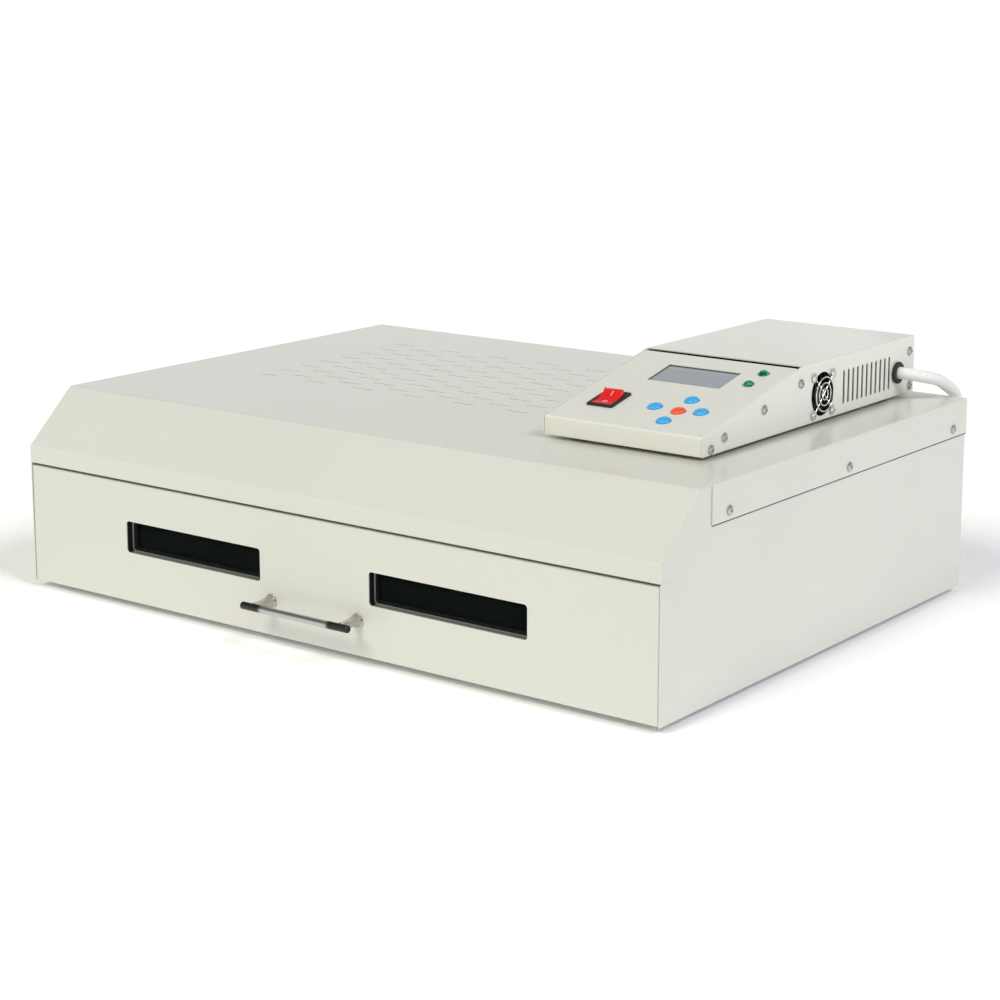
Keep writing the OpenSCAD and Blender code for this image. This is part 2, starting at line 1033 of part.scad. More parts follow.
// Push button: domed cap, a collar under the panel and a stem to the switch
module push_button(at, paint) {
    r = button_d / 2;
    color(paint)
        on_panel(at)
            rotate_extrude()
                union() {
                    polygon([
                        [0, -5.8], [1.6, -5.8], [1.6, -3.6], [r + 1, -3.6], [r + 1, -sheet - 0.4],
                        [r, -sheet - 0.4], [r, 1.2], [0, 1.2]
                    ]);
                    intersection() {
                        translate([0, 1])
                            square([r, 4]);
                        translate([0, -7])
                            circle(r = sqrt(r * r + 64), $fn = 96);
                    }
                }
}

module button_left() {
    push_button(button_at[0], "#2f9fd6");
}

module button_front() {
    push_button(button_at[1], "#2f9fd6");
}

module button_centre() {
    push_button(button_at[2], "#d8382e");
}

module button_rear() {
    push_button(button_at[3], "#2f9fd6");
}

module button_right() {
    push_button(button_at[4], "#2f9fd6");
}

// Board under the panel with one tactile switch body below each button
module button_board() {
    color("#2d5a3d")
        on_panel([105, 44])
            translate([0, 0, -12.2])
                linear_extrude(1.6)
                    square([66, 74], center = true);
    color(dark)
        for (p = button_at)
            on_panel(p)
                difference() {
                    translate([-4.5, -4.5, -10.6])
                        cube([9, 9, 4.4]);
                    translate([0, 0, -9])
                        cylinder(h = 6, d = 4.4);
                }
}

module indicator_lenses() {
    color("#2fae6e")
        for (p = lens_at)
            on_panel(p)
                rotate_extrude()
                    polygon([
                        [0, -9], [3.6, -9], [3.6, 0], [5.2, 0], [5.2, 1.2], [3.2, 3], [0, 3.6]
                    ]);
}

module box_fan_frame() {
    color(dark)
        along_x(box_x1 - sheet - 10, box_x1 - sheet)
            difference() {
                translate([fan40_y, fan40_z])
                    round_rect([40, 40], 3);
                translate([fan40_y, fan40_z])
                    circle(d = 37.8, $fn = 64);
                for (sy = [-1, 1], sz = [-1, 1])
                    translate([fan40_y + sy * fan40_pitch / 2, fan40_z + sz * fan40_pitch / 2])
                        circle(d = 3.4);
            }
    color(dark)
        translate([box_x1 - sheet - 10, fan40_y, fan40_z])
            rotate([0, 90, 0])
                difference() {
                    union() {
                        cylinder(h = 2, d = 18);
                        for (a = [20, 140, 260])
                            rotate([0, 0, a])
                                translate([13.6, 0, 0.75])
                                    cube([11, 2.4, 1.5], center = true);
                    }
                    translate([0, 0, 1])
                        cylinder(h = 3, d = 2.1);
                }
}

module box_fan_wheel() {
    color("#2b2c30")
        translate([box_x1 - sheet - 7.2, fan40_y, fan40_z])
            rotate([0, 90, 0])
                union() {
                    cylinder(h = 6.4, d = 18);
                    translate([0, 0, -1.4])
                        cylinder(h = 2, d = 2);
                    for (a = [0 : 360 / 7 : 359])
                        rotate([0, 0, a])
                            translate([13, 0, 3.2])
                                rotate([40, 0, 0])
                                    cube([9.4, 7, 0.8], center = true);
                }
}

// Wire finger guard: rings on two crossed arms, with a screw at each end
module box_fan_guard() {
    wire = 1.3;
    eye = fan40_pitch / 2;
    reach = eye * sqrt(2);
    color("silver")
        translate([box_x1, fan40_y, fan40_z])
            rotate([0, 90, 0]) {
                for (r = [4.8, 9.8, 14.8])
                    translate([0, 0, 2.2])
                        rotate_extrude()
                            translate([r, 0])
                                circle(d = wire, $fn = 16);
                for (a = [45, 135])
                    rotate([0, 0, a])
                        translate([-reach, -wire / 2, 1])
                            cube([2 * reach, wire, wire]);
                for (sx = [-1, 1], sy = [-1, 1])
                    translate([sx * eye, sy * eye, 0])
                        cylinder(h = 2.9, d = 8);
            }
}

// Rubber bush in a panel, groove at z = 0 to -sheet, bead outwards along +Z
module bush() {
    difference() {
        rotate_extrude()
            polygon([
                [0, -sheet - 2.4], [9, -sheet - 2.4], [10, -sheet - 0.1], [7.9, -sheet - 0.1],
                [7.9, 0.1], [10, 0.1], [9.6, 2.4], [8.2, 3.4], [0, 3.4]
            ]);
        translate([0, 0, -10])
            cylinder(h = 20, d = sleeve_bore);
    }
}

module box_grommet() {
    color(dark)
        translate([box_x1, grommet_y, grommet_z])
            rotate([0, 90, 0])
                bush();
}

module rear_grommet() {
    color(dark)
        translate([rear_grommet_x, back_y, rear_grommet_z])
            rotate([-90, 0, 0])
                bush();
}

// Smooth curve through the route points, with extra points in each step
function curve_at(a, b, c, d, t) =
    0.5 * ((2 * b) + (c - a) * t + (2 * a - 5 * b + 4 * c - d) * t * t
        + (3 * b - a - 3 * c + d) * t * t * t);
function pick(p, i) = p[max(0, min(len(p) - 1, i))];
function smooth_route(p, n) = concat(
    [for (i = [0 : len(p) - 2], k = [0 : n - 1])
        curve_at(pick(p, i - 1), pick(p, i), pick(p, i + 1), pick(p, i + 2), k / n)],
    [p[len(p) - 1]]
);
function unit(v) = v / norm(v);
function heading(p, i) = unit(pick(p, i + 1) - pick(p, i - 1));
function ring(c, dir, r, n) =
    let (u = unit(cross(dir, [0.3, -0.5, 0.8])), v = cross(dir, u))
    [for (k = [0 : n - 1]) c + r * (cos(360 * k / n) * u + sin(360 * k / n) * v)];
function tube_points(p, r, n) = [for (i = [0 : len(p) - 1]) each ring(p[i], heading(p, i), r, n)];
function tube_faces(m, n) = concat(
    [[for (k = [0 : n - 1]) k]],
    [for (i = [0 : m - 2], k = [0 : n - 1])
        [i * n + k, (i + 1) * n + k, (i + 1) * n + (k + 1) % n]],
    [for (i = [0 : m - 2], k = [0 : n - 1])
        [i * n + k, (i + 1) * n + (k + 1) % n, i * n + (k + 1) % n]],
    [[for (k = [n - 1 : -1 : 0]) (m - 1) * n + k]]
);

module harness_sleeve() {
    sides = 12;
    path = smooth_route(route, 2);
    color("#f2f2f0")
        polyhedron(
            points = tube_points(path, sleeve_d / 2, sides),
            faces = tube_faces(len(path), sides),
            convexity = 6
        );
}

// ---------- electronics ----------

module controller_board() {
    x0 = box_x + 20;
    y0 = box_y0 + 190;
    z = box_z0 + sheet;
    color("#2d5a3d")
        block([x0, y0, z + 6], [x0 + 70, y0 + 90, z + 7.6]);
    color(steel)
        for (x = [x0 + 5, x0 + 65], y = [y0 + 5, y0 + 85])
            translate([x, y, z])
                cylinder(h = 6, d = 6);
    color(dark) {
        block([x0 + 24, y0 + 20, z + 7.6], [x0 + 38, y0 + 34, z + 9.2]);
        block([x0 + 14, y0 + 50, z + 7.6], [x0 + 34, y0 + 66, z + 19]);
        block([x0 + 50, y0 + 10, z + 7.6], [x0 + 62, y0 + 70, z + 16]);
    }
}

module power_supply() {
    x0 = box_x + 20;
    y0 = box_y0 + 290;
    z = box_z0 + sheet;
    color("#d6b24a")
        block([x0 + 8, y0 + 6, z + 3], [x0 + 44, y0 + 38, z + 35]);
    color(steel)
        block([x0, y0, z], [x0 + 52, y0 + 44, z + 3]);
}

module relay_block() {
    y0 = liner_back + 12;
    z = foot_h + sheet;
    color("#3a3b3e")
        block([-20, y0, z + 14], [25, y0 + 40, z + 38]);
    color(steel)
        block([-28, y0 - 4, z], [33, y0 + 44, z + 14]);
}

base_pan();
side_panel_left();
side_panel_right();
rear_panel();
top_cover();
cover_screws();
rubber_feet();
oven_liner();
insulation();
heater_tubes();
heater_end_caps();
heater_brackets();
heater_reflector();
circulation_motor();
circulation_blade();
exhaust_fan_frame();
exhaust_fan_wheel();
exhaust_duct();
exhaust_collar();
mains_inlet();
thermocouple();
slide_outer_left();
slide_outer_right();
slide_mid_left();
slide_mid_right();
slide_inner_left();
slide_inner_right();
drawer_front();
window_frames();
window_glass();
handle_bar();
handle_posts();
handle_screws();
drawer_tray();
drawer_seal();
box_base();
box_panel();
box_cover();
box_screws();
box_spacers();
lcd_module();
lcd_glass();
rocker_bezel();
rocker();
button_left();
button_front();
button_centre();
button_rear();
button_right();
button_board();
indicator_lenses();
box_fan_frame();
box_fan_wheel();
box_fan_guard();
box_grommet();
harness_sleeve();
rear_grommet();
controller_board();
power_supply();
relay_block();
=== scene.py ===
"""Looks of a benchtop reflow oven: softened sheet metal, screws, controls, fans and wiring."""
import json
import math

import bmesh
import bpy
from bpy.props import FloatProperty, FloatVectorProperty, IntProperty, PointerProperty
from mathutils import Matrix, Vector
from mathutils.bvhtree import BVHTree

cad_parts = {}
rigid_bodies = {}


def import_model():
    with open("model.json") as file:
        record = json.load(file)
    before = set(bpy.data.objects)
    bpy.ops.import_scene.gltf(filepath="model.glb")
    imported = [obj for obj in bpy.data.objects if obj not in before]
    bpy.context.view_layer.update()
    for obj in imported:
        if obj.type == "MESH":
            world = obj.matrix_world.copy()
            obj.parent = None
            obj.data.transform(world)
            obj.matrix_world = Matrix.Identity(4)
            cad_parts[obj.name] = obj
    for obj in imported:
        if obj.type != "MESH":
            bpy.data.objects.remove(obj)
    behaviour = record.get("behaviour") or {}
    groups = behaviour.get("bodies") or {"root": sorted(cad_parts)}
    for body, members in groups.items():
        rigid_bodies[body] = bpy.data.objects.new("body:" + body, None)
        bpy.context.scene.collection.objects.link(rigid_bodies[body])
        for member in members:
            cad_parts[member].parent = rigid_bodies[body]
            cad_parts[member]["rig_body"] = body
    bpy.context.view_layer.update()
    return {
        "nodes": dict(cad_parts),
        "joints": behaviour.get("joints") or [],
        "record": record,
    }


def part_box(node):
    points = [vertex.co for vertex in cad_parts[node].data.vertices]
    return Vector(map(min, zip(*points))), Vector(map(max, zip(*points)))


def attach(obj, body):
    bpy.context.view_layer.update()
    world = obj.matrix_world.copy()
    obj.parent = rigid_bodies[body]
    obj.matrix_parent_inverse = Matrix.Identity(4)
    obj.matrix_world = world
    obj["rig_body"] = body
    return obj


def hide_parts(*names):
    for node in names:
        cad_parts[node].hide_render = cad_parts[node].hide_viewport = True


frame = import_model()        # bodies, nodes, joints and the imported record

bl_info = {
    "name": "Reflow oven",
    "version": (1, 0, 0),
    "blender": (4, 5, 0),
    "location": "3D View > Sidebar > Oven",
    "description": "Builds the visible pieces and finishes of a benchtop reflow oven",
    "category": "Object",
}

MM = 0.001
AS_MADE = Matrix.Identity(4)
NODES = frame["nodes"]
SLOT_OF = {part["node"]: part["material_slot"] for part in frame["record"]["subparts"]}
JOINTS = {joint["name"]: joint for joint in frame["joints"]}
PANEL_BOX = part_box("box_panel")
COVER_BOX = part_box("box_cover")
TILT = math.asin(JOINTS["button_centre_press"]["axis"][1])


# ---------- settings ----------

def colour(name, rgb, text):
    """A colour setting."""
    return FloatVectorProperty(
        name=name, description=text, subtype="COLOR", size=3, min=0.0, max=1.0, default=rgb
    )


def length(name, metres, text):
    """A length setting."""
    return FloatProperty(name=name, description=text, unit="LENGTH", default=metres, precision=5)


class OvenFinish(bpy.types.PropertyGroup):
    """Colours of the oven."""

    cream: colour("Powder coat", (0.635, 0.632, 0.580), "Paint on all outer panels")
    blue: colour("Blue buttons", (0.035, 0.41, 0.84), "Moulded caps around the middle one")
    red: colour("Red button", (0.92, 0.085, 0.035), "Moulded cap in the middle")
    rocker: colour("Rocker", (0.70, 0.006, 0.007), "Translucent red rocker")
    lamp: colour("Lamp lenses", (0.008, 0.22, 0.15), "Green indicator lenses")
    display: colour("Display", (0.33, 0.36, 0.40), "Unlit liquid crystal display")
    sleeve: colour("Sleeve", (0.86, 0.86, 0.85), "Braided sleeve of the wiring harness")


class OvenShape(bpy.types.PropertyGroup):
    """Sizes of the softened edges and small parts."""

    fold: length("Fold radius", 1.5 * MM, "Outer radius of the folds in sheet metal")
    rim: length("Rim radius", 0.25 * MM, "Rounding of cut edges")
    wire: length("Guard wire", 0.7 * MM, "Radius of the fan guard's wire")
    steps: IntProperty(name="Turning steps", description="Facets round turned parts", default=64)


class OvenStage(bpy.types.PropertyGroup):
    """Camera settings."""

    lens: FloatProperty(name="Lens", description="Focal length in millimetres", default=82.67)
    drop: FloatProperty(name="Shift", description="Vertical shift of the lens", default=-0.1)
    azimuth: FloatProperty(
        name="Azimuth", description="Camera's turn to the right", subtype="ANGLE",
        default=math.radians(37.18),
    )
    pitch: FloatProperty(
        name="Pitch", description="Camera's look down", subtype="ANGLE",
        default=math.radians(11.06),
    )
    distance: length("Distance", 2.0, "Camera to the point it looks at")
    aim: FloatVectorProperty(
        name="Aim", description="Point the camera looks at", subtype="TRANSLATION",
        unit="LENGTH", size=3, default=(0.0546, -0.0646, 0.1937),
    )


# ---------- shader maths ----------

class Field:
    """A value that varies over a surface, with arithmetic that adds Math nodes."""

    def __init__(self, paint, socket):
        self.paint = paint
        self.socket = socket

    def _math(self, operation, first, second):
        return self.paint.node("ShaderNodeMath", {"operation": operation}, {0: first, 1: second})

    def __add__(self, other):
        return self._math("ADD", self, other)

    def __radd__(self, other):
        return self._math("ADD", other, self)

    def __sub__(self, other):
        return self._math("SUBTRACT", self, other)

    def __rsub__(self, other):
        return self._math("SUBTRACT", other, self)

    def __mul__(self, other):
        return self._math("MULTIPLY", self, other)


class NodeTree:
    """The nodes of a material or of the world, round the shader that they feed."""

    def __init__(self, owner, shader_type):
        owner.use_nodes = True
        self.tree = owner.node_tree
        self.shader = next(n for n in self.tree.nodes if n.type == shader_type)

    def node(self, kind, settings, sockets, out=0):
        """Adds a node: settings first, then the values or links of its sockets."""
        made = self.tree.nodes.new(kind)
        for key, value in settings.items():
            if key == "stops":
                self._stops(made.color_ramp, value)
            else:
                setattr(made, key, value)
        for key, value in sockets.items():
            if isinstance(value, Field):
                self.tree.links.new(value.socket, made.inputs[key])
            else:
                made.inputs[key].default_value = value
        return Field(self, made.outputs[out])

    def _stops(self, ramp, stops):
        while len(ramp.elements) < len(stops):
            ramp.elements.new(0.5)
        for element, (place, value) in zip(ramp.elements, stops):
            element.position = place
            element.color = (value, value, value, 1.0)

    def ramp(self, value, *stops):
        """A value remapped through ramp stops."""
        return self.node("ShaderNodeValToRGB", {"stops": stops}, {"Fac": value})

    def feed(self, key, value):
        """Links a varying value to one of the shader's sockets."""
        self.tree.links.new(value.socket, self.shader.inputs[key])


class Paint(NodeTree):
    """A material being made on a Principled shader."""

    def __init__(self, name, **fixed):
        self.material = bpy.data.materials.new(name)
        super().__init__(self.material, "BSDF_PRINCIPLED")
        for key, value in fixed.items():
            socket = self.shader.inputs[key.replace("_", " ").title().replace("Ior", "IOR")]
            socket.default_value = (*value, 1.0) if socket.type == "RGBA" else value

    def place(self, stretch=(1.0, 1.0, 1.0)):
        """Object coordinates in metres, stretched per axis."""
        spot = self.node("ShaderNodeTexCoord", {}, {}, out="Object")
        return self.node("ShaderNodeVectorMath", {"operation": "MULTIPLY"}, {0: spot, 1: stretch})

    def axis(self, letter):
        """One of the object coordinates, in metres."""
        return self.node("ShaderNodeSeparateXYZ", {}, {"Vector": self.place()}, out=letter)

    def noise(self, scale, detail=2.0, stretch=(1.0, 1.0, 1.0), rough=0.5):
        """Soft noise from 0 to 1, with features about 1/scale metres across."""
        return self.node("ShaderNodeTexNoise", {}, {
            "Vector": self.place(stretch), "Scale": scale, "Detail": detail, "Roughness": rough,
        })

    def mix(self, factor, first, second):
        """A colour between two colours."""
        first, second = [c if isinstance(c, Field) else (*c, 1.0) for c in (first, second)]
        return self.node("ShaderNodeMix", {"data_type": "RGBA"}, {
            0: factor, 6: first, 7: second,
        }, out=2)

    def bump(self, height, depth, strength=1.0):
        """Bumps the surface by a height field, depth in metres."""
        self.feed("Normal", self.node("ShaderNodeBump", {}, {
            "Height": height, "Distance": depth, "Strength": strength,
        }))


def shade(rgb, factor):
    """A colour made darker or lighter."""
    return tuple(min(1.0, c * factor) for c in rgb)


# ---------- finishes ----------

def powder_coat(finish):
    """Glossy cream powder coat with a fine orange peel; the control box is made lighter, as painted
    light for the bounce light it gets less of than the casing.
    """
    box_bottom, lighter = 183 * MM, 1.15
    paint = Paint("powder coat", roughness=0.30, ior=1.5, coat_weight=0.25, coat_roughness=0.14)
    cloud = paint.noise(5.0, 3.0)
    even = paint.ramp(cloud, (0.35, 0.0), (0.68, 1.0))
    casing = paint.mix(even, shade(finish.cream, 0.985), shade(finish.cream, 1.012))
    # Painted light: above the box's bottom the cream is lighter, making up for the bounce light the
    # box gets less of.
    box_painted_light = paint.ramp(paint.axis("Z"), (box_bottom, 0.0), (box_bottom + MM, 1.0))
    paint.feed("Base Color", paint.mix(box_painted_light, casing, shade(finish.cream, lighter)))
    paint.feed("Roughness", 0.22 + paint.noise(12.0, 2.0) * 0.06)
    paint.bump(paint.noise(420.0, 1.0), 0.00002, 0.3)
    return paint.material


def galvanised():
    """Zinc-coated sheet with soft spangles and a rolling grain."""
    paint = Paint("galvanised sheet", metallic=1.0, roughness=0.4)
    spangle = paint.node("ShaderNodeTexVoronoi", {"feature": "F1"}, {
        "Vector": paint.place(), "Scale": 130.0,
    }, out="Distance")
    grain = paint.noise(60.0, 4.0, (1.0, 30.0, 30.0))
    paint.feed("Base Color", paint.mix(spangle * 0.8, (0.52, 0.53, 0.53), (0.66, 0.67, 0.67)))
    paint.feed("Roughness", 0.3 + grain * 0.22)
    paint.bump(grain, 0.00003, 0.5)
    return paint.material


def tray_steel():
    """Heat-darkened, scratched steel; its very faint glow stands for stray light in the oven."""
    paint = Paint("heat-darkened steel", metallic=0.6, roughness=0.45, emission_strength=0.06)
    tint = paint.noise(7.0, 4.0)
    scratch = paint.ramp(paint.noise(70.0, 6.0, (1.0, 14.0, 14.0)), (0.55, 0.0), (0.7, 1.0))
    patches = paint.ramp(tint, (0.35, 0.0), (0.7, 1.0))
    base = paint.mix(patches, (0.17, 0.17, 0.165), (0.25, 0.24, 0.225))
    worn_and_glow = paint.mix(scratch * 0.35, base, (0.20, 0.20, 0.20))
    paint.feed("Base Color", worn_and_glow)
    # Painted light: the worn colour also glows faintly, standing for stray light in the oven.
    paint.feed("Emission Color", worn_and_glow)
    paint.feed("Roughness", 0.40 + tint * 0.2 - scratch * 0.08)
    paint.bump(scratch, 0.00002, 0.4)
    return paint.material


def bright_metal(name, rgb, rough, wear):
    """Plated or polished metal with faint polishing marks and a few dull spots."""
    paint = Paint(name, metallic=1.0, roughness=rough)
    marks = paint.noise(900.0, 3.0)
    spots = paint.ramp(paint.noise(160.0, 4.0), (0.52, 0.0), (0.75, 1.0))
    paint.feed("Base Color", paint.mix(spots * wear, rgb, shade(rgb, 0.72)))
    paint.feed("Roughness", rough + marks * 0.03 + spots * wear * 0.3)
    return paint.material


def rolled_aluminium():
    """Bright rolled aluminium with a straight grain."""
    paint = Paint("rolled aluminium", metallic=1.0, roughness=0.25)
    grain = paint.noise(40.0, 5.0, (1.0, 60.0, 60.0))
    paint.feed("Base Color", paint.mix(grain, (0.70, 0.71, 0.72), (0.86, 0.87, 0.88)))
    paint.feed("Roughness", 0.18 + grain * 0.2)
    paint.bump(grain, 0.00002, 0.3)
    return paint.material


def moulded(name, rgb, rough, depth=0.00003, scale=1500.0):
    """Moulded plastic or rubber with a fine spark-eroded grain."""
    paint = Paint(name, roughness=rough, ior=1.48)
    grain = paint.noise(scale, 2.0)
    cloud = paint.noise(45.0, 3.0)
    paint.feed("Base Color", paint.mix(cloud * 0.5, rgb, shade(rgb, 0.86)))
    paint.feed("Roughness", rough - 0.04 + cloud * 0.1)
    paint.bump(grain, depth, 0.5)
    return paint.material


def glossy(name, rgb, glow, rough):
    """Gloss-moulded plastic with faint clouding."""
    paint = Paint(name, roughness=rough, ior=1.5, coat_weight=0.4, coat_roughness=0.06,
                  subsurface_weight=glow, subsurface_radius=(0.002, 0.0008, 0.0006))
    cloud = paint.noise(120.0, 3.0)
    paint.feed("Base Color", paint.mix(cloud * 0.35, rgb, shade(rgb, 0.8)))
    paint.feed("Roughness", rough + paint.noise(60.0, 3.0) * 0.08)
    return paint.material


def bar_painted_reflection(half, painted_glint):
    """Polished bar metal with a light middle and dark outer parts on each half, a painted reflection
    of a light and of dark surroundings; the given share of the half length is the light middle.
    """
    paint = Paint("bar plating", metallic=1.0, roughness=0.08)
    away = paint.node("ShaderNodeMath", {"operation": "ABSOLUTE"}, {0: paint.axis("X")})
    # Painted reflection: dark outer parts and a light middle along the bar.
    painted_dark_ends = paint.ramp(away, (half * painted_glint - MM, 0.0), (half * painted_glint + MM, 1.0))
    paint.feed("Base Color", paint.mix(painted_dark_ends, (0.50, 0.49, 0.465), (0.05, 0.05, 0.045)))
    paint.feed("Roughness", 0.07 + painted_dark_ends * 0.2 + paint.noise(900.0, 3.0) * 0.03)
    return paint.material


def cut_lens(finish):
    """Green lens with small cells of dark and light green: painted glints and dark reflections of cut
    facets.
    """
    paint = Paint("green lens with painted glints", roughness=0.06, ior=1.5, coat_weight=0.6, coat_roughness=0.03)
    cell = paint.node("ShaderNodeTexVoronoi", {}, {
        "Vector": paint.place(), "Scale": 420.0,
    }, out="Color")
    painted_glint = paint.ramp(cell, (0.35, 0.0), (0.6, 1.0))
    # Painted glints and dark reflections: each cell is mixed between a dark and a light green.
    paint.feed("Base Color", paint.mix(painted_glint, shade(finish.lamp, 0.2), shade(finish.lamp, 1.7)))
    paint.feed("Roughness", 0.05 + painted_glint * 0.08)
    return paint.material


def clear_glass(name, rgb, cover):
    """Flat heat-proof glass with uneven haze; cover is the share it hides of what lies behind."""
    paint = Paint(name, roughness=0.03, ior=1.5, specular_ior_level=0.12)
    haze = paint.noise(25.0, 3.0)
    paint.feed("Base Color", paint.mix(haze, rgb, shade(rgb, 0.7)))
    paint.feed("Alpha", cover + haze * 0.05)
    return paint.material


def display_glass(finish):
    """Unlit display: grey-blue glass over a fine dot grid, glossy on top."""
    paint = Paint("unlit display", roughness=0.22, ior=1.5, coat_weight=0.7, coat_roughness=0.05)
    dots = paint.node("ShaderNodeTexChecker", {}, {
        "Vector": paint.place(), "Scale": 2600.0,
        "Color1": (1.0, 1.0, 1.0, 1.0), "Color2": (0.0, 0.0, 0.0, 1.0),
    }, out="Fac")
    cloud = paint.noise(18.0, 2.0)
    base = paint.mix(cloud, shade(finish.display, 0.95), shade(finish.display, 1.05))
    paint.feed("Base Color", paint.mix(dots * 0.10, base, shade(finish.display, 0.8)))
    paint.feed("Roughness", 0.18 + cloud * 0.06)
    return paint.material


def circuit_board():
    """Green solder mask with copper tracks showing through."""
    paint = Paint("circuit board", roughness=0.3, ior=1.5, coat_weight=0.4)
    tracks = paint.node("ShaderNodeTexBrick", {}, {
        "Vector": paint.place(), "Scale": 220.0, "Mortar Size": 0.06,
        "Color1": (0.0, 0.0, 0.0, 1.0), "Color2": (0.1, 0.1, 0.1, 1.0),
        "Mortar": (1.0, 1.0, 1.0, 1.0),
    }, out="Fac")
    paint.feed("Base Color", paint.mix(tracks, (0.02, 0.10, 0.045), (0.05, 0.22, 0.09)))
    paint.feed("Roughness", 0.25 + paint.noise(80.0) * 0.15)
    paint.bump(tracks, 0.00004, 0.6)
    return paint.material


def quartz():
    """Milky quartz tube."""
    paint = Paint("milky quartz", roughness=0.3, ior=1.46, coat_weight=0.3)
    cloud = paint.noise(90.0, 4.0, (0.3, 1.0, 1.0))
    paint.feed("Base Color", paint.mix(cloud, (0.86, 0.82, 0.74), (0.66, 0.62, 0.55)))
    paint.feed("Alpha", 0.45 + cloud * 0.25)
    return paint.material


def ceramic():
    """Unglazed white ceramic with fine pores."""
    paint = Paint("unglazed ceramic", roughness=0.7)
    pores = paint.ramp(paint.noise(1400.0, 3.0), (0.3, 0.0), (0.45, 1.0))
    paint.feed("Base Color", paint.mix(pores, (0.60, 0.57, 0.50), (0.80, 0.78, 0.71)))
    paint.feed("Roughness", 0.6 + pores * 0.15)
    paint.bump(pores, 0.00003, 0.5)
    return paint.material


def wool():
    """Pressed ceramic wool, fibrous and slightly uneven."""
    paint = Paint("ceramic wool", roughness=0.95)
    fibre = paint.noise(300.0, 8.0, (1.0, 1.0, 3.0), 0.7)
    paint.feed("Base Color", paint.mix(fibre, (0.62, 0.57, 0.47), (0.84, 0.80, 0.71)))
    paint.feed("Roughness", 0.9 + fibre * 0.08)
    paint.bump(fibre, 0.0008, 0.8)
    return paint.material


def woven(name, dark, light, pitch, depth):
    """Plain weave of round yarns, pitch in metres."""
    paint = Paint(name, roughness=0.75)
    warp, weft = [
        paint.node("ShaderNodeTexWave", {"bands_direction": "DIAGONAL"}, {
            "Vector": paint.place(way), "Scale": 0.30 / pitch, "Distortion": 0.6,
        }, out="Fac") for way in ((1.0, 1.0, 1.0), (-1.0, 1.0, -1.0))
    ]
    height = (warp + weft) * 0.5
    paint.feed("Base Color", paint.mix(height, dark, light))
    paint.feed("Roughness", 0.85 - height * 0.15)
    paint.bump(height, depth, 0.8)
    return paint.material


def make_finishes():
    """All materials, by the record's slot names."""
    finish = bpy.context.scene.oven_finish
    black = (0.012, 0.012, 0.013)
    return {
        "powder_coat": powder_coat(finish),
        "galvanised_steel": galvanised(),
        "tray_steel": tray_steel(),
        "reflector_aluminium": rolled_aluminium(),
        "screw_nickel": bright_metal("nickel plate", (0.50, 0.49, 0.465), 0.18, 0.5),
        "chrome_trim": bright_metal("polished chrome", (0.70, 0.69, 0.665), 0.09, 0.15),
        "feet_rubber": moulded("black rubber", (0.016, 0.016, 0.016), 0.62, 0.00005, 900.0),
        "ceramic_wool": wool(),
        "seal_cloth": woven("woven seal", (0.16, 0.155, 0.14), (0.36, 0.35, 0.32), 0.0016, 0.0004),
        "quartz": quartz(),
        "heater_ceramic": ceramic(),
        "motor_metal": bright_metal("lacquered motor steel", (0.30, 0.31, 0.32), 0.38, 0.4),
        "black_plastic": moulded("black moulding", black, 0.42),
        "window_glass": clear_glass("oven window glass", (0.02, 0.03, 0.026), 0.09),
        "display_glass": display_glass(finish),
        "display_module": moulded("display housing", (0.05, 0.055, 0.055), 0.5),
        "circuit_board": circuit_board(),
        "rocker_red": glossy("red rocker", tuple(finish.rocker), 0.25, 0.22),
        "button_blue": glossy("blue cap", tuple(finish.blue), 0.15, 0.24),
        "button_red": glossy("red cap", tuple(finish.red), 0.15, 0.24),
        "lamp_green": cut_lens(finish),
        "harness_sleeve": woven(
            "white braid", (0.66, 0.66, 0.65), tuple(finish.sleeve), 0.0009, 0.00012
        ),
    }


FINISH = {}


def finish_of(slot):
    """The material of a slot, made once."""
    if not FINISH:
        FINISH.update(make_finishes())
    return FINISH[slot]


# ---------- mesh tools ----------

def to_mesh(name, bm):
    """Turns a bmesh into a mesh and frees it."""
    bmesh.ops.recalc_face_normals(bm, faces=bm.faces)
    mesh = bpy.data.meshes.new(name)
    bm.to_mesh(mesh)
    bm.free()
    return mesh


def new_piece(name, bm, node, extra_slot=None, material=None, smooth=32.0):
    """Shows a bmesh in place of a CAD node or, with a slot of its own, beside it as an extra."""
    slot = extra_slot or SLOT_OF[node]
    mesh = to_mesh(name, bm)
    piece = bpy.data.objects.new(name, mesh)
    bpy.context.scene.collection.objects.link(piece)
    mesh.materials.append(material or finish_of(slot))
    mesh.shade_smooth()
    mesh.set_sharp_from_angle(angle=math.radians(smooth))
    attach(piece, NODES[node]["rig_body"])
    if not extra_slot:
        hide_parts(node)
    return piece


def lathe(profile, steps):
    """A closed solid turned about Z from (radius, height) points."""
    bm = bmesh.new()
    rings = []
    for radius, height in profile:
        if radius < 1e-7:
            rings.append([bm.verts.new((0.0, 0.0, height))])
            continue
        rings.append([
            bm.verts.new((radius * math.cos(a), radius * math.sin(a), height))
            for a in [2.0 * math.pi * i / steps for i in range(steps)]
        ])
    for lower, upper in zip(rings, rings[1:]):
        for i in range(steps):
            j = (i + 1) % steps
            corners = []
            for ring, k in ((lower, i), (lower, j), (upper, j), (upper, i)):
                vert = ring[k % len(ring)]
                if vert not in corners:
                    corners.append(vert)
            if len(corners) > 2:
                bm.faces.new(corners)
    for ring in (rings[0], rings[-1]):
        if len(ring) > 2 and profile[0] != profile[-1]:
            bm.faces.new(ring)
    return bm


def arc(centre, radius, start, end, steps=8):
    """Points on a circular arc, angles in degrees."""
    turns = [math.radians(start + (end - start) * i / steps) for i in range(steps + 1)]
    return [(centre[0] + radius * math.cos(t), centre[1] + radius * math.sin(t)) for t in turns]


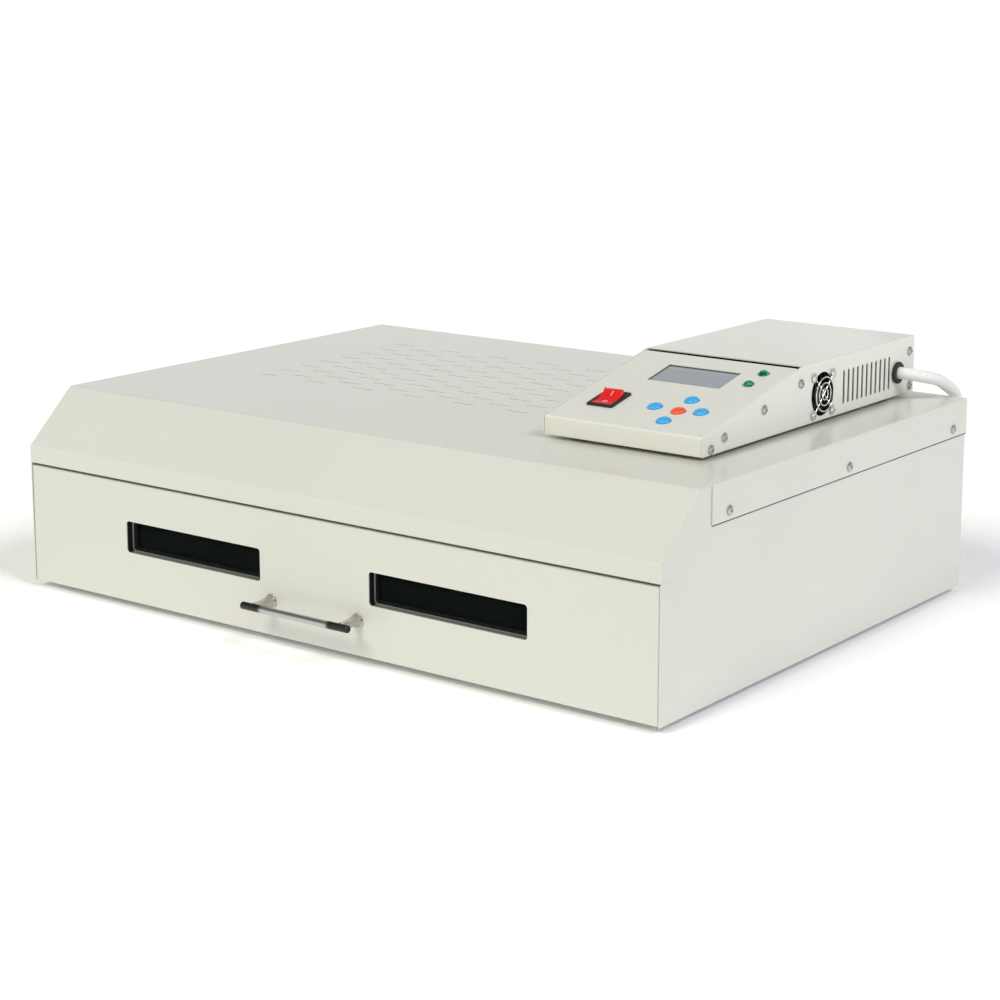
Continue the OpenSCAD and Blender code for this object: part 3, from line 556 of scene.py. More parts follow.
def merged(parts):
    """One bmesh from pairs of a mesh or a bmesh and the matrix that places it."""
    whole = bmesh.new()
    for part, place in parts:
        start = len(whole.verts)
        whole.from_mesh(to_mesh("part", part) if isinstance(part, bmesh.types.BMesh) else part)
        whole.verts.ensure_lookup_table()
        bmesh.ops.transform(whole, matrix=place, verts=whole.verts[start:])
    return whole


def slab(low, high):
    """A block between two corners."""
    bm = bmesh.new()
    bmesh.ops.create_cube(bm, size=1.0)
    for vert in bm.verts:
        vert.co = [low[i] if vert.co[i] < 0 else high[i] for i in range(3)]
    return bm


def extruded(outline, depth, hole=None):
    """A solid raised by depth from an outline, less a hole with as many points."""
    bm = bmesh.new()
    low = [bm.verts.new((x, y, 0.0)) for x, y in outline]
    high = [bm.verts.new((x, y, depth)) for x, y in outline]
    count = len(outline)
    for i in range(count):
        j = (i + 1) % count
        bm.faces.new((low[i], low[j], high[j], high[i]))
    if hole is None:
        bm.faces.new(low)
        bm.faces.new(high)
        return bm
    low_in = [bm.verts.new((x, y, 0.0)) for x, y in hole]
    high_in = [bm.verts.new((x, y, depth)) for x, y in hole]
    for i in range(count):
        j = (i + 1) % count
        bm.faces.new((low_in[i], low_in[j], high_in[j], high_in[i]))
        bm.faces.new((low[i], low[j], low_in[j], low_in[i]))
        bm.faces.new((high[i], high[j], high_in[j], high_in[i]))
    return bm


def rounded_rect(width, height, radius, steps=6):
    """Outline of a rectangle with rounded corners, centred."""
    outline = []
    for sx, sy, start in ((1, 1, 0), (-1, 1, 90), (-1, -1, 180), (1, -1, 270)):
        centre = (sx * (width / 2 - radius), sy * (height / 2 - radius))
        outline += arc(centre, radius, start, start + 90, steps)
    return outline


def round_edges(bm, radius, steps, least_angle=30.0, edges=None):
    """Rounds the sharp edges of a bmesh."""
    if edges is None:
        edges = [
            e for e in bm.edges
            if len(e.link_faces) == 2 and e.calc_face_angle() > math.radians(least_angle)
        ]
    bmesh.ops.bevel(
        bm, geom=edges, offset=radius, offset_type="OFFSET", segments=steps, profile=0.5,
        affect="EDGES", clamp_overlap=False,
    )


def is_fold(edge, tree, reach):
    """True where both faces beside a convex edge go on for at least reach."""
    least_angle, flush = math.radians(8), 0.03 * MM
    if len(edge.link_faces) != 2 or not edge.is_convex or edge.calc_face_angle() < least_angle:
        return False
    middle = (edge.verts[0].co + edge.verts[1].co) / 2
    along = (edge.verts[1].co - edge.verts[0].co).normalized()
    for face in edge.link_faces:
        inward = face.normal.cross(along)
        if inward.dot(face.calc_center_median() - middle) < 0:
            inward.negate()
        inside = middle + inward * reach
        place, _, _, distance = tree.find_nearest(inside)
        if place is None or distance > flush:
            return False
    return edge.calc_length() > reach


def softened(node, fold, rim):
    """A CAD node's shape with its folds and cut edges rounded."""
    bm = bmesh.new()
    bm.from_mesh(NODES[node].data)
    bmesh.ops.remove_doubles(bm, verts=bm.verts, dist=1e-6)
    bmesh.ops.dissolve_limit(
        bm, angle_limit=math.radians(0.5), verts=bm.verts, edges=bm.edges, delimit={"NORMAL"}
    )
    bmesh.ops.recalc_face_normals(bm, faces=bm.faces)
    if fold > 0.0:
        tree = BVHTree.FromBMesh(bm)
        folds = [e for e in bm.edges if is_fold(e, tree, 3.0 * MM)]
        round_edges(bm, fold, 4, edges=folds)
    round_edges(bm, rim, 2)
    return bm


def islands(node):
    """The separate solids of a CAD node: lowest corner, highest corner and points of each."""
    bm = bmesh.new()
    bm.from_mesh(NODES[node].data)
    bmesh.ops.remove_doubles(bm, verts=bm.verts, dist=1e-6)
    seen, found = set(), []
    for vert in bm.verts:
        if vert in seen:
            continue
        group, todo = [], [vert]
        seen.add(vert)
        while todo:
            here = todo.pop()
            group.append(here.co.copy())
            for edge in here.link_edges:
                other = edge.other_vert(here)
                if other not in seen:
                    seen.add(other)
                    todo.append(other)
        low = Vector([min(c[i] for c in group) for i in range(3)])
        high = Vector([max(c[i] for c in group) for i in range(3)])
        found.append((low, high, group))
    bm.free()
    return found


def facing(direction, spot, spin=0.0):
    """A matrix that turns +Z to a direction and moves to a spot."""
    turn = Vector(direction).to_track_quat("Z", "Y").to_matrix().to_4x4()
    return Matrix.Translation(spot) @ turn @ Matrix.Rotation(spin, 4, "Z")


# ---------- control panel frame ----------

SLOPE = Vector((0.0, math.cos(TILT), math.sin(TILT)))
PANEL_OUT = Vector((0.0, -math.sin(TILT), math.cos(TILT)))
NOSE = Vector((
    PANEL_BOX[0].x,
    PANEL_BOX[0].y,
    PANEL_BOX[1].z - (PANEL_BOX[1].y - PANEL_BOX[0].y) * math.tan(TILT),
))


def on_panel(x, s, lift=0.0):
    """A matrix on the sloped panel: X across, Y up the slope, Z out of it."""
    spot = Vector((x, NOSE.y, NOSE.z)) + SLOPE * s + PANEL_OUT * lift
    return Matrix.Translation(spot) @ Matrix.Rotation(TILT, 4, "X")


def panel_spot(points):
    """Where points of a part lie on the panel: their middle across and up the slope."""
    across = [p.x for p in points]
    up = [(p - NOSE).dot(SLOPE) for p in points]
    return (min(across) + max(across)) / 2, (min(up) + max(up)) / 2


def node_points(node):
    """The CAD node's points."""
    return [v.co.copy() for v in NODES[node].data.vertices]


# ---------- screws ----------

def pan_head(radius, height):
    """Mesh of a pan head with a cross recess, seated at z = 0."""
    sink = radius * 0.9
    dome = arc((0.0, -sink), math.hypot(radius * 0.86, sink + height * 0.55), 90, 48, 10)
    top = [(x, y) for x, y in dome if y > height * 0.5 and x < radius]
    lift = height - top[0][1]
    profile = [(0.0, 0.0), (radius * 0.97, 0.0), (radius, height * 0.08), (radius, height * 0.42)]
    profile += [(x, y + lift) for x, y in reversed(top)]
    head = to_mesh("pan_head", lathe(profile, 40))
    bars = []
    for turn in (0.0, math.pi / 2):
        bar = bmesh.new()
        bmesh.ops.create_cube(bar, size=1.0)
        for vert in bar.verts:
            deep = vert.co.z < 0
            vert.co.x *= radius * (0.45 if deep else 1.05)
            vert.co.y *= radius * (0.13 if deep else 0.25)
            vert.co.z = height * 0.3 if deep else height * 1.4
        bars.append((bar, Matrix.Rotation(turn, 4, "Z")))
    return cut_by(head, to_mesh("cross", merged(bars)))


def cut_by(mesh, cutter_mesh):
    """The mesh with a cutter taken out of it."""
    scene = bpy.context.scene.collection
    body = bpy.data.objects.new("cut_body", mesh)
    cutter = bpy.data.objects.new("cut_tool", cutter_mesh)
    scene.objects.link(body)
    scene.objects.link(cutter)
    change = body.modifiers.new("cut", "BOOLEAN")
    change.operation = "DIFFERENCE"
    change.solver = "EXACT"
    change.use_self = True
    change.object = cutter
    bpy.context.view_layer.update()
    graph = bpy.context.evaluated_depsgraph_get()
    result = bpy.data.meshes.new_from_object(body.evaluated_get(graph))
    bpy.data.objects.remove(body)
    bpy.data.objects.remove(cutter)
    return result


def screw_group(name, node, head_r, head_h, way_of):
    """Heads at every screw of a CAD node; way_of gives each one's outward direction."""
    head = pan_head(head_r, head_h)
    spin = 0.7
    places = []
    for i, (low, high, _) in enumerate(islands(node)):
        middle = (low + high) / 2
        way = Vector(way_of(middle))
        reach = (high - low).dot(Vector([abs(c) for c in way])) / 2
        seat = middle + way * (reach - head_h)
        places.append((head, facing(way, seat, spin * i)))
    new_piece(name, merged(places), node, smooth=28.0)


class OVEN_OT_screws(bpy.types.Operator):
    """Pan-head screws of the cover and the control box."""

    bl_idname = "oven.screws"
    bl_label = "Screws"

    def execute(self, context):
        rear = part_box("rear_panel")[1].y - 10 * MM
        box_middle = (COVER_BOX[0].x + COVER_BOX[1].x) / 2

        def cover_way(middle):
            return (0, 1, 0) if middle.y > rear else (math.copysign(1, middle.x), 0, 0)

        def box_way(middle):
            return math.copysign(1, middle.x - box_middle), 0, 0

        screw_group("cover_screw_heads", "cover_screws", 4.1 * MM, 2.5 * MM, cover_way)
        screw_group("box_screw_heads", "box_screws", 4.0 * MM, 2.5 * MM, box_way)
        return {"FINISHED"}


# ---------- sheet metal ----------

class OVEN_OT_panels(bpy.types.Operator):
    """Painted sheet metal with rounded folds and cut edges."""

    bl_idname = "oven.panels"
    bl_label = "Panels"

    def execute(self, context):
        shape = context.scene.oven_shape
        for node in ("top_cover", "side_panel_left", "side_panel_right", "rear_panel",
                     "drawer_front", "box_cover", "box_panel", "box_base"):
            sheet = softened(node, shape.fold, shape.rim)
            piece = new_piece(node + "_sheet", sheet, node, smooth=25.0)
            flat = piece.modifiers.new("flat faces", "WEIGHTED_NORMAL")
            flat.keep_sharp = True
        self.vent_shade_sheets()
        self.flange_shadow_strips()
        return {"FINISHED"}

    def flange_shadow_strips(self):
        """Black strips under the cover's side flanges: a painted shadow, drawn as the thin dark line
        below each flange.
        """
        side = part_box("side_panel_right")[1].x
        flange = [p for p in node_points("top_cover") if p.x > side + 0.5 * MM]
        near, far = min(p.y for p in flange) + MM, max(p.y for p in flange) - MM
        low = min(p.z for p in flange) - 0.8 * MM
        thick, tall = 0.95 * MM, 3.0 * MM
        strips = []
        for inner, outer in ((-side - thick, -side), (side, side + thick)):
            strip = slab((inner, near, low), (outer, far, low + tall))
            strips.append((strip, AS_MADE))
        new_piece("flange_painted_shadow", merged(strips), "top_cover", extra_slot="feet_rubber")

    def vent_shade_sheets(self):
        """Black sheets inside the box, behind the side vents: painted shade that keeps the vents
        dark.
        """
        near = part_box("box_fan_frame")[1].y + 8 * MM
        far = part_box("box_grommet")[0].y - 1.5 * MM
        low, high = 188 * MM, 226 * MM
        inside, half = 3.0 * MM, 0.25 * MM
        sheets = []
        for x in (COVER_BOX[0].x + inside, COVER_BOX[1].x - inside):
            sheet = slab((x - half, near, low), (x + half, far, high))
            sheets.append((sheet, AS_MADE))
        new_piece("vent_shade_sheets", merged(sheets), "box_cover", extra_slot="black_plastic")


class OVEN_OT_drawer(bpy.types.Operator):
    """Tray, seal, and the windows' frames, glass, beads and sills."""

    bl_idname = "oven.drawer"
    bl_label = "Drawer"

    def execute(self, context):
        rim = context.scene.oven_shape.rim
        for node, radius in (("drawer_tray", rim), ("window_frames", 2 * rim),
                             ("window_glass", 2 * rim), ("drawer_seal", 4 * rim)):
            new_piece(node + "_made", softened(node, 0.0, radius), node, smooth=28.0)
        self.beads()
        self.sills()
        return {"FINISHED"}

    def beads(self):
        """A thin glossy bead where each frame meets the glass; it catches real light, and its light
        grey-green adds a painted glint of the glass edge.
        """
        overlap, wide, deep, corner = 14.0 * MM, 0.45 * MM, 0.9 * MM, 3.0 * MM
        clear = glossy("sealant with painted glint", (0.50, 0.53, 0.50), 0.0, 0.12)
        places = []
        for low, high, _ in islands("window_frames"):
            width, height = high.x - low.x - overlap, high.z - low.z - overlap
            ring = extruded(
                rounded_rect(width, height, corner), deep,
                rounded_rect(width - 2 * wide, height - 2 * wide, corner - wide),
            )
            middle = ((low.x + high.x) / 2, high.y, (low.z + high.z) / 2)
            turn = Matrix.Translation(middle) @ Matrix.Rotation(math.pi / 2, 4, "X")
            places.append((ring, turn))
        new_piece(
            "window_beads", merged(places), "window_frames", extra_slot="window_glass", material=clear
        )

    def sills(self):
        """A thin grey sill along the lower edge inside each window; its grey is painted light,
        standing for the frame's lower return lit from above.
        """
        border, thick, side = 7.0 * MM, 0.3 * MM, 3.5 * MM
        grey = moulded("sill with painted light", (0.20, 0.21, 0.19), 0.45)
        places = []
        for low, high, _ in islands("window_frames"):
            wide, deep = high.x - low.x - 2 * (border + side), high.y - low.y
            strip = extruded(rounded_rect(wide, deep, thick), thick)
            middle = ((low.x + high.x) / 2, (low.y + high.y) / 2, low.z + border)
            places.append((strip, Matrix.Translation(middle)))
        new_piece(
            "window_sills", merged(places), "window_frames", extra_slot="tray_steel", material=grey
        )


# ---------- handle ----------

class OVEN_OT_handle(bpy.types.Operator):
    """Chrome bar on two flared posts."""

    bl_idname = "oven.handle"
    bl_label = "Handle"

    def execute(self, context):
        steps = context.scene.oven_shape.steps
        low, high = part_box("handle_bar")
        radius = (high.z - low.z) / 2
        span = high.x - low.x
        soft = 0.9 * MM
        profile = [(0.0, 0.0)] + arc((radius - soft, soft), soft, -90, 0, 5)
        profile += [(r, span - z) for r, z in reversed(profile)]
        bar = lathe(profile, steps)
        end = (low.x, (low.y + high.y) / 2, (low.z + high.z) / 2)
        bmesh.ops.transform(bar, matrix=facing((1, 0, 0), end), verts=bar.verts)
        # The bar's light middle and dark outer parts are painted reflection.
        plate = bar_painted_reflection(span / 2, 0.62)
        new_piece("bar_handle", bar, "handle_bar", material=plate)
        self.posts(steps)
        return {"FINISHED"}

    def posts(self, steps):
        """Two posts that flare out to round feet on the drawer's front."""
        post_chrome = bright_metal("post chrome", (0.50, 0.49, 0.465), 0.05, 0.6)
        rim, soft, cuts = 1.6 * MM, 0.3 * MM, 14
        places = []
        for low, high, _ in islands("handle_posts"):
            reach = high.y - low.y
            foot = (high.z - low.z) / 2
            neck = foot * 0.5
            curve = [(0.0, 0.0), (foot - soft, 0.0), (foot, soft), (foot, rim - soft)]
            for i in range(cuts + 1):
                t = i / cuts
                flare = (foot - 0.8 * MM - neck) * (1 - t) ** 2.6
                curve.append((neck + flare, rim + (reach - rim) * t))
            curve.append((0.0, reach))
            seat = ((low.x + high.x) / 2, high.y, (low.z + high.z) / 2)
            places.append((lathe(curve, steps), facing((0, -1, 0), seat)))
        new_piece("handle_post_pair", merged(places), "handle_posts", material=post_chrome)


# ---------- controls ----------

class OVEN_OT_buttons(bpy.types.Operator):
    """Five domed push buttons."""

    bl_idname = "oven.buttons"
    bl_label = "Buttons"

    def execute(self, context):
        steps = context.scene.oven_shape.steps
        for node in [n for n in NODES if n.startswith("button_") and n != "button_board"]:
            points = node_points(node)
            x, s = panel_spot(points)
            lifts = [(p - NOSE).dot(PANEL_OUT) for p in points]
            top, foot = max(lifts), min(lifts)
            collar = (max(p.x for p in points) - min(p.x for p in points)) / 2
            radius = collar - 1.0 * MM
            stem, under, over, skirt, cuts = 1.6 * MM, -3.6 * MM, -1.65 * MM, 1.0 * MM, 12
            crown = [
                (radius * math.cos(t), skirt + (top - skirt) * math.sin(t))
                for t in [math.pi / 2 * i / cuts for i in range(cuts)]
            ]
            profile = [
                (0.0, foot), (stem, foot), (stem, under), (collar, under),
                (collar, over), (radius, over), *crown, (0.0, top),
            ]
            cap = lathe(profile, steps)
            bmesh.ops.transform(cap, matrix=on_panel(x, s), verts=cap.verts)
            new_piece(node + "_cap", cap, node, smooth=40.0)
        return {"FINISHED"}


class OVEN_OT_rocker(bpy.types.Operator):
    """Red rocker with its two marks, and its black bezel."""

    bl_idname = "oven.rocker"
    bl_label = "Rocker"

    def execute(self, context):
        at_rest = math.radians(12.0)
        pivot = Vector(JOINTS["rocker_hinge"]["pos_m"])
        place = Matrix.Translation(pivot) @ Matrix.Rotation(TILT + at_rest, 4, "X")
        self.cap(place)
        self.marks(place)
        bezel = softened("rocker_bezel", 0.0, 0.35 * MM)
        new_piece("rocker_surround", bezel, "rocker_bezel")
        return {"FINISHED"}

    def saddle(self, y):
        """Height of the hollow top above the pivot."""
        middle, end, half = 3.2 * MM, 6.0 * MM, 11.0 * MM
        return middle + (end - middle) * (y / half) ** 2

    def cap(self, place):
        """The rocker, hollow across its top, with a keel below the pivot."""
        half, width, foot, keel, cuts = 11.0 * MM, 18.6 * MM, 0.4 * MM, 3.0 * MM, 14
        outline = [(-half, foot)]
        for i in range(cuts + 1):
            y = -half + 2 * half * i / cuts
            outline.append((y, self.saddle(y)))
        outline += [(half, foot), (keel, -4.0 * MM), (-keel, -4.0 * MM)]
        body = extruded(outline, width)
        bmesh.ops.translate(body, vec=(0.0, 0.0, -width / 2), verts=body.verts)
        round_edges(body, 0.45 * MM, 3, 40.0)
        upright = Matrix(((0, 0, 1, 0), (1, 0, 0, 0), (0, 1, 0, 0), (0, 0, 0, 1)))
        bmesh.ops.transform(body, matrix=place @ upright, verts=body.verts)
        new_piece("rocker_cap", body, "rocker", smooth=35.0)

    def marks(self, place):
        """The line and the circle for on and off, printed on the hollow top."""
        ink = moulded("white marking ink", (0.82, 0.80, 0.78), 0.5)
        half, near, far, thick = 0.28 * MM, 3.6 * MM, 8.4 * MM, 0.05 * MM
        line = [(-half, near), (half, near), (half, far), (-half, far)]
        outer, inner = [arc((0.0, -5.6 * MM), r, 0, 345, 23) for r in (2.1 * MM, 1.55 * MM)]
        marks = merged([
            (extruded(line, thick), AS_MADE), (extruded(outer, thick, inner), AS_MADE)
        ])
        long = [e for e in marks.edges if e.calc_length() > 3 * MM]
        bmesh.ops.subdivide_edges(marks, edges=long, cuts=8, use_grid_fill=True)
        for vert in marks.verts:
            vert.co.z += self.saddle(vert.co.y)
        bmesh.ops.transform(marks, matrix=place, verts=marks.verts)
        new_piece("rocker_marks", marks, "rocker", extra_slot="rocker_red", material=ink)


class OVEN_OT_lamps(bpy.types.Operator):
    """Two faceted green indicator lenses."""

    bl_idname = "oven.lamps"
    bl_label = "Lamps"

    def execute(self, context):
        facets, stem, deep, girdle = 10, 3.6 * MM, -9 * MM, 2.8 * MM
        half_turn = Matrix.Rotation(math.pi / facets, 3, "Z")
        places = []
        for low, high, points in islands("indicator_lenses"):
            x, s = panel_spot(points)
            flange = (high.x - low.x) / 2
            gem = lathe([
                (0.0, deep), (stem, deep), (stem, 0.0), (flange, 0.0), (flange, 0.7 * MM),
                (flange * 0.88, 1.4 * MM), (flange * 0.62, girdle), (flange * 0.3, 3.5 * MM),
            ], facets)
            for vert in gem.verts:
                if abs(vert.co.z - girdle) < 0.1 * MM:
                    vert.co = half_turn @ vert.co
            places.append((gem, on_panel(x, s)))
        new_piece("lamp_lenses", merged(places), "indicator_lenses", smooth=8.0)
        return {"FINISHED"}


class OVEN_OT_display(bpy.types.Operator):
    """Display glass with a dark mask round its edge."""

    bl_idname = "oven.display"
    bl_label = "Display"

    def execute(self, context):
        points = node_points("lcd_glass")
        x, s = panel_spot(points)
        across = max(p.x for p in points) - min(p.x for p in points)
        ups = [(p - NOSE).dot(SLOPE) for p in points]
        lifts = [(p - NOSE).dot(PANEL_OUT) for p in points]
        tall = max(ups) - min(ups)
        outer = rounded_rect(across, tall, 1.0 * MM)
        glass = extruded(outer, max(lifts) - min(lifts))
        round_edges(glass, 0.3 * MM, 2)
        bmesh.ops.transform(glass, matrix=on_panel(x, s, min(lifts)), verts=glass.verts)
        new_piece("display_pane", glass, "lcd_glass")

        inner = rounded_rect(across - 5.0 * MM, tall - 3.2 * MM, 0.5 * MM)
        mask = extruded(outer, 0.25 * MM, inner)
        bmesh.ops.transform(mask, matrix=on_panel(x, s, max(lifts) + 0.02 * MM), verts=mask.verts)
        new_piece("display_mask", mask, "lcd_glass", extra_slot="black_plastic")
        return {"FINISHED"}


# ---------- fans ----------

def fan_blades(hub, tip, chord, rise):
    """Seven curved, swept blades round a hub as one open surface about Z, to be thickened."""
    bm = bmesh.new()
    count, sweep, across, along = 7, 0.25, 6, 7
    for blade in range(count):
        start = 2 * math.pi * blade / count
        grid = []
        for i in range(along + 1):
            radius = hub + (tip - hub) * i / along
            row = []
            for j in range(across + 1):
                t = j / across - 0.5
                turn = start + t * chord / (hub * 0.45 + radius * 0.55) + sweep * (i / along) ** 1.5
                height = rise * (t + 0.35 * (0.25 - t * t))
                row.append(bm.verts.new((radius * math.cos(turn), radius * math.sin(turn), height)))
            grid.append(row)
        for i in range(along):
            for j in range(across):
                bm.faces.new((grid[i][j], grid[i][j + 1], grid[i + 1][j + 1], grid[i + 1][j]))
    return bm


def hub_profile(radius, low, high):
    """A fan hub's profile with a soft upper rim."""
    soft = radius * 0.14
    rim = arc((radius - soft, high - soft), soft, 0, 90, 5)
    return [(0.0, low), (radius, low), *rim, (0.0, high)]


def fan_wheel(name, node, axis, hub, tip, chord, rise, depth, thick):
    """A moulded fan wheel about the X axis (0) or the Y axis (1): hub and curved blades."""
    low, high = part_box(node)
    joint = next(j for j in frame["joints"] if j["child"] == NODES[node]["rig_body"])
    middle = Vector(joint["pos_m"])
    middle[axis] = (low[axis] + high[axis]) / 2
    place = facing(((1, 0, 0), (0, 1, 0))[axis], middle)
    blades = fan_blades(hub * 0.96, tip, chord, rise)
    bmesh.ops.solidify(blades, geom=blades.faces[:], thickness=thick)
    cap = lathe(hub_profile(hub, -depth / 2, depth / 2), 48)
    whole = merged([(blades, place), (cap, place)])
    new_piece(name, whole, node, smooth=45.0)


class OVEN_OT_fans(bpy.types.Operator):
    """Fan wheels, fan frames and the wire guard."""

    bl_idname = "oven.fans"
    bl_label = "Fans"

    def execute(self, context):
        fan_wheel(
            "box_fan_rotor", "box_fan_wheel", 0, hub=9 * MM, tip=17.6 * MM, chord=11 * MM,
            rise=5.6 * MM, depth=6.4 * MM, thick=0.7 * MM,
        )
        fan_wheel(
            "exhaust_rotor", "exhaust_fan_wheel", 1, hub=18 * MM, tip=41.6 * MM, chord=25 * MM,
            rise=13 * MM, depth=16 * MM, thick=1.3 * MM,
        )
        for node in ("box_fan_frame", "exhaust_fan_frame"):
            new_piece(node + "_made", softened(node, 0.0, 0.3 * MM), node)
        self.guard(context.scene.oven_shape.wire)
        return {"FINISHED"}

    def guard(self, wire):
        """Rings on crossed arms, with a washer and a screw at each end."""
        low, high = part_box("box_fan_guard")
        place = facing((1, 0, 0), (low.x, (low.y + high.y) / 2, (low.z + high.z) / 2))
        lift = high.x - low.x - wire
        eye, seat, rim = 16.0 * MM, 0.6 * MM, 2.9 * MM
        meshes = []
        for radius in (4.8 * MM, 9.8 * MM, 14.8 * MM):
            profile = [(radius + x, lift + z) for x, z in arc((0, 0), wire, 0, 360, 12)]
            profile[-1] = profile[0]
            ring = lathe(profile, 64)
            bmesh.ops.remove_doubles(ring, verts=ring.verts, dist=1e-7)
            meshes.append((ring, place))
        span = eye * math.sqrt(2)
        for turn in (45, 135):
            arm = lathe([(0.0, -span), (wire, -span), (wire, span), (0.0, span)], 12)
            lie = Matrix.Rotation(math.radians(turn), 4, "Z") @ Matrix.Rotation(math.pi / 2, 4, "Y")
            behind = Matrix.Translation((0, 0, lift - 1.5 * wire))
            meshes.append((arm, place @ behind @ lie))
        washer = to_mesh("washer", lathe([(0, 0.0), (rim, 0.0), (rim, seat), (0, seat)], 32))
        head = pan_head(4.0 * MM, 2.3 * MM)
        for sx in (-1, 1):
            for sy in (-1, 1):
                spot = place @ Matrix.Translation((sx * eye, sy * eye, 0.0))
                spin = Matrix.Rotation(sx + 2 * sy, 4, "Z")
                meshes.append((washer, spot))
                meshes.append((head, spot @ Matrix.Translation((0, 0, seat)) @ spin))
        new_piece("fan_guard_wire", merged(meshes), "box_fan_guard", smooth=35.0)


# ---------- rubber and wiring ----------

class OVEN_OT_rubber(bpy.types.Operator):
    """Feet and cable bushes."""

    bl_idname = "oven.rubber"
    bl_label = "Rubber parts"

    def execute(self, context):
        steps = context.scene.oven_shape.steps
        self.feet(steps)
        for node, way in (("box_grommet", (1, 0, 0)), ("rear_grommet", (0, 1, 0))):
            self.bush(node, way, steps)
        return {"FINISHED"}

    def feet(self, steps):
        """Tapered feet with a hollow for the screw."""
        bore, deep, rim = 2.1 * MM, 3 * MM, 0.5 * MM
        places = []
        for low, high, _ in islands("rubber_feet"):
            radius, tall = (high.x - low.x) / 2, high.z
            profile = [
                (bore, deep), (5 * MM, deep),
                *arc((5.6 * MM, 0.6 * MM), 0.6 * MM, 180, 270, 3),
                *arc((radius * 0.84, 0.9 * MM), 0.9 * MM, 270, 330, 4),
                (radius, tall * 0.45), *arc((radius - rim, tall - rim), rim, 0, 90, 3),
                (bore, tall), (bore, deep),
            ]
            spot = ((low.x + high.x) / 2, (low.y + high.y) / 2, 0.0)
            places.append((lathe(profile, steps), Matrix.Translation(spot)))
        new_piece("feet", merged(places), "rubber_feet")

    def bush(self, node, way, steps):
        """A cable bush: a bead on either side of the sheet, and a neck through it."""
        low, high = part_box(node)
        along = Vector(way)
        seat = (low + high) / 2 + along * ((high - low).dot(along) / 2 - 3.4 * MM)
        bore, bead, neck, back = 5.7 * MM, 10.0 * MM, 7.9 * MM, -3.6 * MM
        profile = [
            (bore, back), (bead - 1.6 * MM, back),
            *arc((bead - 1.2 * MM, -2.4 * MM), 1.2 * MM, -60, 60, 5),
            (neck, -1.25 * MM), (neck, 0.05 * MM),
            *arc((bead - 1.7 * MM, 1.7 * MM), 1.65 * MM, -85, 100, 10),
            *arc((bore + 0.8 * MM, 2.6 * MM), 0.8 * MM, 90, 180, 4),
            (bore, back),
        ]
        bush = lathe(profile, steps)
        bmesh.ops.remove_doubles(bush, verts=bush.verts, dist=1e-7)
        bmesh.ops.transform(bush, matrix=facing(way, seat), verts=bush.verts)
        new_piece(node + "_bush", bush, node, smooth=50.0)


SLEEVE_D = 11.0 * MM
ROUTE = [
    (0.286, 0.205, 0.2056), (0.300, 0.205, 0.2056), (0.308, 0.2065, 0.2052),
    (0.3155, 0.2105, 0.204), (0.321, 0.2165, 0.2023), (0.3245, 0.224, 0.2003),
    (0.326, 0.233, 0.1974), (0.326, 0.246, 0.1916), (0.326, 0.2585, 0.1855),
    (0.326, 0.2655, 0.1805), (0.326, 0.270, 0.1735), (0.326, 0.2715, 0.1655),
    (0.326, 0.2715, 0.154), (0.326, 0.2695, 0.1455), (0.326, 0.263, 0.1385),
    (0.326, 0.254, 0.136), (0.326, 0.245, 0.136), (0.326, 0.235, 0.136),
]


def smooth_route(points, cuts):
    """A smooth curve through the points, with cuts steps between each pair."""
    path = [Vector(p) for p in points]
    last = len(path) - 1
    fine = []
    for i in range(last):
        a, b, c, d = [path[max(0, min(last, i + k))] for k in (-1, 0, 1, 2)]
        for k in range(cuts):
            t = k / cuts
            bend = (2 * a - 5 * b + 4 * c - d) * t * t
            twist = (3 * b - a - 3 * c + d) * t ** 3
            fine.append(0.5 * (2 * b + (c - a) * t + bend + twist))
    return fine + [path[-1]]


def tube(path, radius, sides):
    """A tube swept along a path, its rings turned as little as possible."""
    bm = bmesh.new()
    rings = []
    side = Vector((0.0, 0.0, 1.0))
    for i, spot in enumerate(path):
        ahead = (path[min(i + 1, len(path) - 1)] - path[max(i - 1, 0)]).normalized()
        side = (side - ahead * side.dot(ahead)).normalized()
        other = ahead.cross(side)
        rings.append([
            bm.verts.new(spot + radius * (math.cos(t) * side + math.sin(t) * other))
            for t in [2 * math.pi * k / sides for k in range(sides)]
        ])
    for lower, upper in zip(rings, rings[1:]):
        for k in range(sides):
            n = (k + 1) % sides
            bm.faces.new((lower[k], lower[n], upper[n], upper[k]))
    bm.faces.new(rings[0])
    bm.faces.new(rings[-1])
    return bm


class OVEN_OT_harness(bpy.types.Operator):
    """Sleeved wiring harness from the control box to the rear panel."""

    bl_idname = "oven.harness"
    bl_label = "Wiring harness"

    def execute(self, context):
        path = smooth_route(ROUTE, 5)
        sleeve = tube(path, SLEEVE_D / 2, 24)
        braid = new_piece("harness_braid", sleeve, "harness_sleeve", smooth=60.0)
        long = sum((b - a).length for a, b in zip(path, path[1:]))
        return {"FINISHED"}


